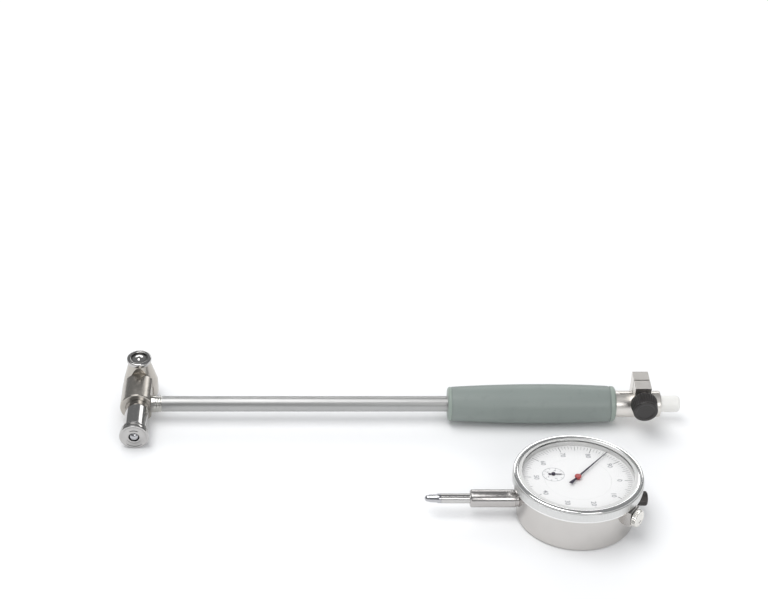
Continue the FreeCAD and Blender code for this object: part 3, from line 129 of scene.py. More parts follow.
class Layout:
    """Where the two tools lie, worked out from the frame's nodes and joints."""

    def __init__(self, frame: dict) -> None:
        self.nodes: dict[str, bpy.types.Object] = frame["nodes"]
        joints = {joint["name"]: joint for joint in frame["joints"]}
        lift = joints["contact_slide"]["axis"]
        roll = math.atan2(lift[2], lift[1])
        rod_low, rod_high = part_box("stem_tube")
        sleeve_low, sleeve_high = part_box("centring_sleeve")
        rod_line = (rod_low + rod_high) / 2
        head_along = (sleeve_low.x + sleeve_high.x) / 2
        self.holder = Seat.at(Vector((head_along, rod_line.y, rod_line.z)), roll=roll)
        bezel_low, bezel_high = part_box("bezel")
        stem_low, stem_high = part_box("indicator_stem")
        middle = (bezel_low + bezel_high) / 2
        self.indicator = Seat.at(Vector((middle.x, middle.y, (stem_low.z + stem_high.z) / 2)))
        pointer = joints["pointer_turn"]["pos_m"]
        counter = joints["counter_turn"]["pos_m"]
        self.counter_at = (Vector(counter) - Vector(pointer)) / MM

    def span(self, seat: Seat, node: str) -> tuple[Vector, Vector]:
        """Returns a node's corners in a seat, in millimetres."""
        return seat.extent(self.nodes[node])


# ---------------------------------------------------------------- finishes


@dataclass(frozen=True)
class Finish:
    """A procedural finish.

    Args:
        name: the material's name.
        colour: linear base colour.
        metallic: 0 for plastic or print, 1 for metal.
        roughness: mean roughness.
        grain: size of the fine texture's cells, per metre.
        stretch: how far the grain is drawn out along each axis.
        bump: height of the grain, in metres.
        vary: how far the colour drifts over the surface.
        dirt: how dark the colour gets in sparse marks.
        coat: clear coat weight.
        spread: how far roughness drifts.
        ior: index of refraction.
        made: keeps the material once built.
    """

    name: str
    colour: tuple[float, float, float]
    metallic: float = 0.0
    roughness: float = 0.4
    grain: float = 900.0
    stretch: tuple[float, float, float] = (1.0, 1.0, 1.0)
    bump: float = 0.00001
    vary: float = 0.06
    dirt: float = 0.0
    coat: float = 0.0
    spread: float = 0.06
    ior: float = 1.5
    made: dict = field(default_factory=dict, compare=False, hash=False)

    def material(self) -> bpy.types.Material:
        """Builds the node material once and returns it."""
        if "material" in self.made:
            return self.made["material"]
        material = bpy.data.materials.new(self.name)
        material.use_nodes = True
        nodes, links = material.node_tree.nodes, material.node_tree.links
        shader = nodes["Principled BSDF"]
        shader.inputs["Metallic"].default_value = self.metallic
        shader.inputs["IOR"].default_value = self.ior
        shader.inputs["Coat Weight"].default_value = self.coat
        shader.inputs["Coat Roughness"].default_value = 0.12
        spot = nodes.new("ShaderNodeTexCoord")
        fine_map = nodes.new("ShaderNodeMapping")
        fine_map.inputs["Scale"].default_value = self.stretch
        links.new(spot.outputs["Object"], fine_map.inputs["Vector"])
        fine = nodes.new("ShaderNodeTexNoise")
        fine.inputs["Scale"].default_value = self.grain
        fine.inputs["Detail"].default_value = 3.0
        links.new(fine_map.outputs["Vector"], fine.inputs["Vector"])
        broad = nodes.new("ShaderNodeTexNoise")
        broad.inputs["Scale"].default_value = 55.0
        broad.inputs["Detail"].default_value = 2.0
        links.new(spot.outputs["Object"], broad.inputs["Vector"])
        tone = nodes.new("ShaderNodeMix")
        tone.data_type = "RGBA"
        low = tuple(max(0.0, part * (1 - self.vary)) for part in self.colour)
        high = tuple(min(1.0, part * (1 + self.vary)) for part in self.colour)
        tone.inputs[6].default_value = (*low, 1)
        tone.inputs[7].default_value = (*high, 1)
        links.new(broad.outputs["Fac"], tone.inputs[0])
        colour_out = tone.outputs[2]
        if self.dirt > 0:
            mark = nodes.new("ShaderNodeTexNoise")
            mark.inputs["Scale"].default_value = 240.0
            mark.inputs["Detail"].default_value = 5.0
            links.new(spot.outputs["Object"], mark.inputs["Vector"])
            cut = nodes.new("ShaderNodeMapRange")
            cut.inputs["From Min"].default_value = 0.56
            cut.inputs["From Max"].default_value = 0.72
            cut.inputs["To Max"].default_value = self.dirt
            links.new(mark.outputs["Fac"], cut.inputs["Value"])
            dark = nodes.new("ShaderNodeMix")
            dark.data_type = "RGBA"
            dark.inputs[7].default_value = (*(part * 0.35 for part in self.colour), 1)
            links.new(cut.outputs["Result"], dark.inputs[0])
            links.new(colour_out, dark.inputs[6])
            colour_out = dark.outputs[2]
        links.new(colour_out, shader.inputs["Base Color"])
        rough = nodes.new("ShaderNodeMapRange")
        rough.inputs["To Min"].default_value = max(0.02, self.roughness - self.spread)
        rough.inputs["To Max"].default_value = min(1.0, self.roughness + self.spread)
        links.new(fine.outputs["Fac"], rough.inputs["Value"])
        links.new(rough.outputs["Result"], shader.inputs["Roughness"])
        bump = nodes.new("ShaderNodeBump")
        bump.inputs["Strength"].default_value = 1.0
        bump.inputs["Distance"].default_value = self.bump
        links.new(fine.outputs["Fac"], bump.inputs["Height"])
        links.new(bump.outputs["Normal"], shader.inputs["Normal"])
        self.made["material"] = material
        return material


class Finishes:
    """Every finish of the two tools."""

    tube = Finish("satin_tube", (0.47, 0.47, 0.465), 1.0, 0.42, 1500, (0.06, 1, 1), 0.000002, 0.05, 0.05)
    ferrule = Finish("turned_ferrule", (0.56, 0.55, 0.52), 1.0, 0.22, 1800, (1, 0.1, 0.1), 0.000002, 0.05)
    nickel = Finish("satin_nickel", (0.50, 0.47, 0.43), 1.0, 0.24, 1400, (0.2, 1, 0.2), 0.000003, 0.06, 0.12)
    chrome = Finish("bright_chrome", (0.52, 0.51, 0.50), 1.0, 0.09, 900, (1, 1, 1), 0.0000008, 0.04, 0.05)
    carbide = Finish("ground_tip", (0.50, 0.50, 0.52), 1.0, 0.16, 1500, (1, 1, 1), 0.000001, 0.04)
    collar = Finish("satin_collar", (0.80, 0.77, 0.73), 1.0, 0.36, 1500, (1, 0.08, 0.08), 0.000003, 0.04)
    block = Finish("milled_block", (0.76, 0.76, 0.76), 1.0, 0.22, 1800, (0.06, 1, 1), 0.000002, 0.04)
    grip = Finish("grip_skin", (0.235, 0.268, 0.252), 0.0, 0.42, 1600, (1, 1, 1), 0.000012, 0.07, 0.10)
    # A lighter copy of the grip colour for the rounded end lips, as a painted highlight.
    grip_lip = Finish("grip_lip", (0.285, 0.335, 0.300), 0.0, 0.36, 1600, (1, 1, 1), 0.000006, 0.05)
    knob = Finish("knob_moulding", (0.020, 0.017, 0.016), 0.0, 0.34, 900, (1, 1, 1), 0.000006, 0.15, coat=0.15)
    plug = Finish("plug_moulding", (0.83, 0.82, 0.79), 0.0, 0.38, 700, (1, 1, 1), 0.000004, 0.02)
    case = Finish("case_plating", (0.62, 0.60, 0.58), 1.0, 0.20, 900, (1, 1, 0.2), 0.000002, 0.05, 0.05)
    bezel = Finish("bezel_turning", (0.70, 0.70, 0.69), 1.0, 0.30, 1800, (0.3, 0.3, 1), 0.000002, 0.03)
    rim = Finish("bezel_polish", (0.92, 0.92, 0.91), 1.0, 0.10, 900, (1, 1, 1), 0.000001, 0.02)
    stem = Finish("ground_stem", (0.52, 0.50, 0.49), 1.0, 0.22, 1700, (1, 0.08, 0.08), 0.000002, 0.05)
    spindle = Finish("ground_spindle", (0.58, 0.57, 0.56), 1.0, 0.16, 1700, (1, 0.08, 0.08), 0.000001, 0.05)
    dark = Finish("dark_steel", (0.085, 0.080, 0.078), 1.0, 0.34, 1200, (1, 1, 1), 0.000004, 0.12, 0.1)
    bright = Finish("bright_knurl", (0.80, 0.78, 0.74), 1.0, 0.20, 900, (1, 1, 1), 0.000002, 0.04)
    dial = Finish("dial_enamel", (0.86, 0.855, 0.85), 0.0, 0.5, 500, (1, 1, 1), 0.000001, 0.01)
    print_dark = Finish("dial_print", (0.11, 0.11, 0.12), 0.0, 0.5, 900, (1, 1, 1), 0.0, 0.05)
    print_grey = Finish("dial_print_fine", (0.30, 0.30, 0.32), 0.0, 0.5, 900, (1, 1, 1), 0.0, 0.05)
    print_red = Finish("dial_print_red", (0.45, 0.03, 0.03), 0.0, 0.5, 900, (1, 1, 1), 0.0, 0.05)
    pointer = Finish("pointer_lacquer", (0.030, 0.022, 0.045), 0.3, 0.3, 900, (1, 1, 1), 0.0, 0.05)
    hub = Finish("hub_lacquer", (0.40, 0.05, 0.05), 0.0, 0.3, 900, (1, 1, 1), 0.0, 0.05, coat=0.3)
    brass = Finish("movement_brass", (0.72, 0.52, 0.24), 1.0, 0.28, 900, (1, 1, 1), 0.000002, 0.05)
    spring = Finish("spring_wire", (0.45, 0.45, 0.46), 1.0, 0.25, 900, (1, 1, 1), 0.000001, 0.05)


def crystal_material() -> bpy.types.Material:
    """Returns the clear acrylic of the dial's crystal, kept see-through to light and camera."""
    material = bpy.data.materials.new("clear_crystal")
    material.use_nodes = True
    nodes, links = material.node_tree.nodes, material.node_tree.links
    nodes.remove(nodes["Principled BSDF"])
    output = nodes["Material Output"]
    clear = nodes.new("ShaderNodeBsdfTransparent")
    gloss = nodes.new("ShaderNodeBsdfGlossy")
    spot = nodes.new("ShaderNodeTexCoord")
    haze = nodes.new("ShaderNodeTexNoise")
    haze.inputs["Scale"].default_value = 120.0
    links.new(spot.outputs["Object"], haze.inputs["Vector"])
    rough = nodes.new("ShaderNodeMapRange")
    rough.inputs["To Min"].default_value = 0.02
    rough.inputs["To Max"].default_value = 0.05
    links.new(haze.outputs["Fac"], rough.inputs["Value"])
    links.new(rough.outputs["Result"], gloss.inputs["Roughness"])
    fresnel = nodes.new("ShaderNodeFresnel")
    fresnel.inputs["IOR"].default_value = 1.35
    mix = nodes.new("ShaderNodeMixShader")
    side = nodes.new("ShaderNodeNewGeometry")
    outside = nodes.new("ShaderNodeMath")
    outside.operation = "SUBTRACT"
    outside.inputs[0].default_value = 1.0
    links.new(side.outputs["Backfacing"], outside.inputs[1])
    share = nodes.new("ShaderNodeMath")
    share.operation = "MULTIPLY"
    links.new(fresnel.outputs["Fac"], share.inputs[0])
    links.new(outside.outputs[0], share.inputs[1])
    links.new(share.outputs[0], mix.inputs["Fac"])
    links.new(clear.outputs["BSDF"], mix.inputs[1])
    links.new(gloss.outputs["BSDF"], mix.inputs[2])
    links.new(mix.outputs["Shader"], output.inputs["Surface"])
    return material


# ---------------------------------------------------------------- mesh work


Point = tuple[float, float]


@dataclass(frozen=True)
class Knot:
    """A corner of a turned profile: how far along the axis, how far out, and how far it is rounded."""

    along: float
    out: float
    round: float = 0.0


def rounded_profile(knots: Sequence[Knot], closed: bool, steps: int = 5) -> list[Point]:
    """Rounds the corners of a profile.

    Args:
        knots: its corners, in order.
        closed: whether the last corner joins the first.
        steps: points on each rounding.

    Returns:
        The profile's points.
    """
    points: list[Point] = []
    count = len(knots)
    for index, knot in enumerate(knots):
        here = Vector((knot.along, knot.out))
        ends = not closed and index in (0, count - 1)
        if knot.round <= 0 or ends:
            points.append((knot.along, knot.out))
            continue
        before = knots[index - 1]
        after = knots[(index + 1) % count]
        back = Vector((before.along, before.out)) - here
        ahead = Vector((after.along, after.out)) - here
        reach = min(knot.round, back.length * 0.48, ahead.length * 0.48)
        start, end = here + back.normalized() * reach, here + ahead.normalized() * reach
        for step in range(steps + 1):
            share = step / steps
            point = start * (1 - share) ** 2 + here * 2 * share * (1 - share) + end * share ** 2
            points.append((point.x, point.y))
    return points


def finish_mesh(mesh: bpy.types.Mesh, sharp: float = 32.0) -> None:
    """Shades a mesh smooth, with edges sharper than an angle in degrees kept crisp."""
    mesh.shade_smooth()
    mesh.set_sharp_from_angle(angle=math.radians(sharp))
    mesh.update()


def new_object(name: str, mesh: bpy.types.Mesh,
               finish: bpy.types.Material | None = None) -> bpy.types.Object:
    """Links a mesh as an object at the origin, with its material."""
    piece = bpy.data.objects.new(name, mesh)
    bpy.context.scene.collection.objects.link(piece)
    if finish is not None:
        mesh.materials.append(finish)
    return piece


def mesh_of(name: str, build: Callable[[bmesh.types.BMesh], None], seat: Seat | None = None,
            sharp: float = 32.0) -> bpy.types.Mesh:
    """Builds a mesh with bmesh, faces outward, and moves it to its seat."""
    made = bmesh.new()
    build(made)
    bmesh.ops.remove_doubles(made, verts=made.verts, dist=1e-5)
    bmesh.ops.recalc_face_normals(made, faces=made.faces)
    if seat is not None:
        made.transform(seat.matrix)
    mesh = bpy.data.meshes.new(name)
    made.to_mesh(mesh)
    made.free()
    finish_mesh(mesh, sharp)
    return mesh


def add_turning(made: bmesh.types.BMesh, points: Sequence[Point], axis: Axis, closed: bool,
                segments: int = 96, wave: Callable[[float, float, float], float] | None = None) -> None:
    """Adds a turned form.

    Args:
        made: the mesh being built.
        points: the profile, as (along, out).
        axis: the axis it revolves about.
        closed: whether the profile is a ring, clear of the axis.
        segments: steps round the axis.
        wave: gives the radius at (along, out, angle), for flutes and knurls.
    """
    rings: list[list[bmesh.types.BMVert]] = []
    for along, out in points:
        if out < 1e-6:
            rings.append([made.verts.new(on_axis(axis, along, 0.0, 0.0))])
            continue
        ring = []
        for step in range(segments):
            angle = 2 * math.pi * step / segments
            radius = wave(along, out, angle) if wave else out
            across, up = radius * math.cos(angle), radius * math.sin(angle)
            ring.append(made.verts.new(on_axis(axis, along, across, up)))
        rings.append(ring)
    pairs = list(zip(rings, rings[1:]))
    if closed:
        pairs.append((rings[-1], rings[0]))
    for near, far in pairs:
        if len(near) == 1 and len(far) == 1:
            continue
        for step in range(segments):
            after = (step + 1) % segments
            if len(near) == 1:
                made.faces.new((near[0], far[step], far[after]))
            elif len(far) == 1:
                made.faces.new((near[step], near[after], far[0]))
            else:
                made.faces.new((near[step], near[after], far[after], far[step]))


def on_axis(axis: Axis, along: float, across: float, up: float) -> tuple[float, float, float]:
    """Returns a point from its distance along an axis and its two offsets."""
    if axis is Axis.X:
        return along, across, up
    if axis is Axis.Y:
        return up, along, across
    return across, up, along


@dataclass
class Turned:
    """A turned piece: its profile about an axis of a seat, made into one object."""

    name: str
    seat: Seat
    axis: Axis
    knots: Sequence[Knot]
    finish: Finish
    segments: int = 96
    steps: int = 5
    wave: Callable[[float, float, float], float] | None = None
    sharp: float = 32.0

    def make(self) -> bpy.types.Object:
        """Builds the object and returns it."""
        closed = self.knots[0].out > 0 and self.knots[-1].out > 0
        points = rounded_profile(self.knots, closed, self.steps)

        def build(made: bmesh.types.BMesh) -> None:
            """Adds the turned form."""
            add_turning(made, points, self.axis, closed, self.segments, self.wave)

        mesh = mesh_of(self.name, build, self.seat, self.sharp)
        return new_object(self.name, mesh, self.finish.material())


def stand_for(piece: bpy.types.Object, body: str, slot: str, *nodes: str) -> bpy.types.Object:
    """Lets a piece ride on its body in place of CAD nodes."""
    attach(piece, body)
    if nodes:
        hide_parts(*nodes)
    return piece


def dressed(node: bpy.types.Object, finish: bpy.types.Material) -> None:
    """Gives a carried-over CAD node its procedural finish."""
    node.data.materials.clear()
    node.data.materials.append(finish)


def even_rings(low: float, high: float, out: float, count: int) -> list[Knot]:
    """Returns evenly spaced corners on a straight run, so that a wave can shape it."""
    return [Knot(low + (high - low) * step / count, out) for step in range(count + 1)]


# ---------------------------------------------------------------- repeats


class RoundRepeat:
    """A node group that repeats a small mesh round an axis, baked to a plain mesh."""

    def __init__(self, name: str) -> None:
        self.group = bpy.data.node_groups.new(name, "GeometryNodeTree")
        face = self.group.interface
        self.sockets = {}
        for label, kind, way in (("Geometry", "NodeSocketGeometry", "INPUT"),
                                 ("Count", "NodeSocketInt", "INPUT"),
                                 ("Radius", "NodeSocketFloat", "INPUT"),
                                 ("First Angle", "NodeSocketFloat", "INPUT"),
                                 ("Finish", "NodeSocketMaterial", "INPUT"),
                                 ("Geometry", "NodeSocketGeometry", "OUTPUT")):
            socket = face.new_socket(name=label, in_out=way, socket_type=kind)
            if way == "INPUT":
                self.sockets[label] = socket.identifier
        nodes, links = self.group.nodes, self.group.links
        enter, leave = nodes.new("NodeGroupInput"), nodes.new("NodeGroupOutput")
        line = nodes.new("GeometryNodeMeshLine")
        links.new(enter.outputs["Count"], line.inputs["Count"])
        line.inputs["Offset"].default_value = (0, 0, 0)
        index = nodes.new("GeometryNodeInputIndex")
        step = nodes.new("ShaderNodeMath")
        step.operation = "DIVIDE"
        step.inputs[0].default_value = 2 * math.pi
        links.new(enter.outputs["Count"], step.inputs[1])
        angle = nodes.new("ShaderNodeMath")
        angle.operation = "MULTIPLY_ADD"
        links.new(index.outputs[0], angle.inputs[0])
        links.new(step.outputs[0], angle.inputs[1])
        links.new(enter.outputs["First Angle"], angle.inputs[2])
        turn = nodes.new("ShaderNodeCombineXYZ")
        links.new(angle.outputs[0], turn.inputs["Z"])
        copies = nodes.new("GeometryNodeInstanceOnPoints")
        shift = nodes.new("GeometryNodeTransform")
        reach = nodes.new("ShaderNodeCombineXYZ")
        links.new(enter.outputs["Radius"], reach.inputs["X"])
        links.new(enter.outputs["Geometry"], shift.inputs["Geometry"])
        links.new(reach.outputs[0], shift.inputs["Translation"])
        links.new(line.outputs[0], copies.inputs["Points"])
        links.new(shift.outputs[0], copies.inputs["Instance"])
        links.new(turn.outputs[0], copies.inputs["Rotation"])
        whole = nodes.new("GeometryNodeRealizeInstances")
        links.new(copies.outputs[0], whole.inputs[0])
        coat = nodes.new("GeometryNodeSetMaterial")
        links.new(whole.outputs[0], coat.inputs["Geometry"])
        links.new(enter.outputs["Finish"], coat.inputs["Material"])
        links.new(coat.outputs[0], leave.inputs[0])

    def bake(self, name: str, unit: bpy.types.Mesh, count: int, radius: float, seat: Seat,
             finish: bpy.types.Material, first: float = 0.0) -> bpy.types.Object:
        """Repeats a unit round the Z axis of a seat and bakes it.

        Args:
            name: the piece's name.
            unit: the mesh to repeat, in millimetres.
            count: how many copies.
            radius: how far out each copy is moved, in millimetres.
            seat: where the result lies.
            finish: its material.
            first: angle of the first copy, in radians.

        Returns:
            The baked object, at the origin with no modifier.
        """
        holder = bpy.data.objects.new(name + "_unit", unit)
        bpy.context.scene.collection.objects.link(holder)
        modifier = holder.modifiers.new("repeat", "NODES")
        modifier.node_group = self.group
        modifier[self.sockets["Count"]] = count
        modifier[self.sockets["Radius"]] = radius
        modifier[self.sockets["First Angle"]] = first
        modifier[self.sockets["Finish"]] = finish
        bpy.context.view_layer.update()
        shown = holder.evaluated_get(bpy.context.evaluated_depsgraph_get())
        mesh = bpy.data.meshes.new_from_object(shown)
        mesh.name = name
        bpy.data.objects.remove(holder)
        mesh.transform(seat.matrix)
        mesh.materials.clear()
        finish_mesh(mesh)
        return new_object(name, mesh, finish)


def slab_mesh(name: str, length: float, width: float, height: float) -> bpy.types.Mesh:
    """Returns a small bar along X with softened upper edges, its middle at the origin, in millimetres."""
    edge = min(height, width) * 0.25

    def build(made: bmesh.types.BMesh) -> None:
        """Adds the bar's rings and faces."""
        rings = []
        for level, inset in ((0.0, 0.0), (height - edge, 0.0), (height, edge)):
            half_l, half_w = length / 2 - inset, width / 2 - inset
            corners = ((-half_l, -half_w), (half_l, -half_w), (half_l, half_w), (-half_l, half_w))
            rings.append([made.verts.new((x, y, level)) for x, y in corners])
        made.faces.new(reversed(rings[0]))
        made.faces.new(rings[-1])
        for near, far in zip(rings, rings[1:]):
            for step in range(4):
                after = (step + 1) % 4
                made.faces.new((near[step], near[after], far[after], far[step]))

    return mesh_of(name, build)


def joined(name: str, pieces: Sequence[bpy.types.Object]) -> bpy.types.Object:
    """Joins pieces that share a body into one object."""
    made = bmesh.new()
    materials: list[bpy.types.Material] = []
    for piece in pieces:
        offset = len(materials)
        materials.extend(piece.data.materials)
        start = len(made.faces)
        made.from_mesh(piece.data)
        made.faces.ensure_lookup_table()
        for face in made.faces[start:]:
            face.material_index += offset
    mesh = bpy.data.meshes.new(name)
    made.to_mesh(mesh)
    made.free()
    for material in materials:
        mesh.materials.append(material)
    for piece in pieces:
        bpy.data.objects.remove(piece)
    finish_mesh(mesh)
    return new_object(name, mesh)


# ---------------------------------------------------------------- holder


@dataclass
class HeadLooks:
    """The measuring head: sleeve, contact, lock ring and screw, with polished turning."""

    layout: Layout
    lip: float = 0.35
    groove: float = 0.7
    barrel_radius: float = 5.74
    barrel_bore: float = 4.5
    face_bore: float = 2.6
    front_wall: float = 4.0
    flange_width: float = 2.0
    ring_from: float = 2.9
    ring_width: float = 1.1
    pin_radius: float = 1.95
    nose_radius: float = 0.85
    nut_mouth: float = 4.1
    nut_bore: float = 2.1

    def make(self) -> None:
        """Builds the head's turned pieces and dresses the rest."""
        seat, nodes = self.layout.holder, self.layout.nodes
        low, high = self.layout.span(seat, "centring_sleeve")
        flange, barrel, bore = high.x, self.barrel_radius, self.face_bore
        front, back = low.y, high.y
        flange_back, wall = front + self.flange_width, front + self.front_wall
        ring, ring_back = front + self.ring_from, front + self.ring_from + self.ring_width
        sleeve = Turned("sleeve_turning", seat, Axis.Y, [
            Knot(front, bore), Knot(front, bore + 0.9, 0.2), Knot(front + 0.35, bore + 1.5, 0.2),
            Knot(front + 0.35, flange - 1.4, 0.2), Knot(front, flange - 0.9, 0.3), Knot(front, flange, self.lip),
            Knot(flange_back, flange, self.lip), Knot(flange_back, flange - self.groove, 0.1),
            Knot(ring, flange - self.groove, 0.1), Knot(ring, flange - self.lip, 0.25),
            Knot(ring_back, flange - self.lip, 0.25), Knot(ring_back, barrel, 0.1), Knot(back, barrel, 0.2),
            Knot(back, self.barrel_bore), Knot(wall, self.barrel_bore), Knot(wall, bore)],
            Finishes.chrome, 112, 6)
        stand_for(sleeve.make(), "sleeve", "chrome", "centring_sleeve")
        for node in ("head_body", "anvil_block"):
            dressed(nodes[node], Finishes.nickel.material())
        self.make_contact()
        dressed(nodes["fixed_anvil"], Finishes.chrome.material())
        self.make_lock()

    def make_contact(self) -> None:
        """Builds the measuring pin: hard ball in front, small nose behind."""
        seat = self.layout.holder
        low, high = self.layout.span(seat, "measuring_contact")
        ball, pin, nose = high.x, self.pin_radius, self.nose_radius
        turn = [math.pi * 0.7 * step / 14 for step in range(1, 15)]
        arc = [Knot(low.y + ball - ball * math.cos(angle), ball * math.sin(angle)) for angle in turn]
        tip = [Knot(high.y - nose + nose * math.sin(angle), nose * math.cos(angle))
               for angle in (0.0, 0.4, 0.8, 1.2)]
        contact = Turned("contact_turning", seat, Axis.Y, [
            Knot(low.y, 0), *arc, Knot(low.y + ball * 1.66, pin), Knot(high.y - nose - 2.0, pin, 0.1),
            *tip, Knot(high.y, 0)], Finishes.carbide, 72, 3)
        stand_for(contact.make(), "contact", "hard_steel", "measuring_contact")

    def make_lock(self) -> None:
        """Builds the ring nut and dresses the slotted screw on top of the anvil boss."""
        seat, nodes = self.layout.holder, self.layout.nodes
        low, high = self.layout.span(seat, "anvil_lock_ring")
        middle = (low.y + high.y) / 2
        outer = (high.y - low.y) / 2
        here = seat.shifted(beside=middle)
        ring = Turned("lock_ring_turning", here, Axis.Z, [
            Knot(low.z, self.nut_bore), Knot(low.z, outer, 0.9), Knot(high.z, outer, 1.0),
            Knot(high.z, self.nut_mouth, 0.4), Knot(low.z + 0.7, self.nut_mouth - 0.1, 0.15),
            Knot(low.z + 0.6, self.nut_bore)], Finishes.chrome, 96, 8)
        stand_for(ring.make(), "holder", "chrome", "anvil_lock_ring")
        dressed(nodes["anvil_lock_screw"], Finishes.chrome.material())


@dataclass
class StemLooks:
    """Ferrule, tube and grip."""

    layout: Layout
    neck_length: float = 1.6
    neck_radius: float = 3.5
    bead_radius: float = 4.0
    rod_bore: float = 1.6
    tube_bore: float = 2.3
    end_round: float = 1.2
    full_at: float = 46.0
    full_radius: float = 9.55
    front_radius: float = 8.2
    tail_radius: float = 8.5
    collar_seat: float = 8.3
    collar_seat_radius: float = 5.25
    tube_seat_radius: float = 3.8
    barrel_steps: int = 44

    def make(self) -> None:
        """Builds the stem's turned pieces."""
        seat = self.layout.holder
        low, high = self.layout.span(seat, "rod_ferrule")
        out = high.z
        neck, dip, bead = high.x - self.neck_length, self.neck_radius, self.bead_radius
        ferrule = Turned("ferrule_turning", seat, Axis.X, [
            Knot(low.x, self.rod_bore), Knot(low.x, out, 0.35), Knot(neck - 1.1, out, 0.12),
            Knot(neck - 1.1, out - 0.3, 0.1), Knot(neck - 0.7, out - 0.3, 0.1),
            Knot(neck - 0.7, out, 0.12), Knot(neck, out, 0.25),
            Knot(neck, dip, 0.08), Knot(neck + 0.5, dip, 0.08), Knot(neck + 0.5, bead, 0.15),
            Knot(neck + 1.1, bead, 0.15), Knot(neck + 1.1, dip, 0.08), Knot(high.x, dip),
            Knot(high.x, self.rod_bore)],
            Finishes.ferrule, 80, 4)
        stand_for(ferrule.make(), "holder", "satin_steel", "rod_ferrule")
        low, high = self.layout.span(seat, "stem_tube")
        tube = Turned("tube_turning", seat, Axis.X, [
            Knot(low.x, self.tube_bore), Knot(low.x, high.z, 0.15), Knot(high.x, high.z),
            Knot(high.x, self.tube_bore)], Finishes.tube, 96, 3)
        stand_for(tube.make(), "holder", "satin_steel", "stem_tube")
        self.make_grip()

    def barrel(self, low: float, high: float) -> Callable[[float], float]:
        """Gives the grip's shape.

        Args:
            low: where the grip begins along the stem.
            high: where it ends.

        Returns:
            A function from the distance along the stem to the grip's radius.
        """
        peak, full = low + self.full_at, self.full_radius

        def radius(along: float) -> float:
            """Returns the radius of the tangent arc at a distance along the stem."""
            run = (peak - low if along < peak else high - peak) - self.end_round
            rise = full - (self.front_radius if along < peak else self.tail_radius)
            arc = (run * run + rise * rise) / (2 * rise)
            return full - (arc - math.sqrt(max(0.0, arc * arc - (along - peak) ** 2)))

        return radius

    def make_grip(self) -> None:
        """Builds the barrel grip, with a moulded lip and a fine groove at each end; the lips carry a painted
        highlight.
        """
        seat = self.layout.holder
        low, high = self.layout.span(seat, "grip")
        radius = self.barrel(low.x, high.x)
        front, back = low.x, high.x
        shoulder = radius(front + self.end_round)
        knots = [Knot(front, self.tube_seat_radius), Knot(front, shoulder - 0.9, 0.25),
                 Knot(front + 0.6, shoulder, 0.5), Knot(front + 1.5, radius(front + 1.5), 0.12),
                 Knot(front + 1.6, radius(front + 1.6) - 0.22, 0.08),
                 Knot(front + 1.95, radius(front + 2.0) - 0.22, 0.08),
                 Knot(front + 2.05, radius(front + 2.1), 0.12)]
        for step in range(1, self.barrel_steps):
            along = front + 2.05 + (back - front - 5.2) * step / self.barrel_steps
            knots.append(Knot(along, radius(along)))
        knots += [Knot(back - 3.1, radius(back - 3.1), 0.15), Knot(back - 3.0, radius(back - 3.0) - 0.3, 0.1),
                  Knot(back - 2.5, radius(back - 2.5) - 0.3, 0.1), Knot(back - 2.4, radius(back - 2.4), 0.15),
                  Knot(back - 0.6, self.tail_radius, 0.6), Knot(back, self.tail_radius - 0.9, 0.25),
                  Knot(back, self.collar_seat_radius),
                  Knot(back - self.collar_seat, self.collar_seat_radius),
                  Knot(back - self.collar_seat, self.tube_seat_radius)]
        grip = Turned("grip_moulding", seat, Axis.X, knots, Finishes.grip, 128, 4).make()
        # Second slot: the lighter copy of the grip colour, a painted highlight on the rounded end lips.
        grip.data.materials.append(Finishes.grip_lip.material())
        inverse = seat.matrix.inverted()
        for polygon in grip.data.polygons:
            along = (inverse @ polygon.center).x
            if along > back - 2.45 or along < front + 1.6:
                polygon.material_index = 1
        stand_for(grip, "holder", "grip_plastic", "grip")


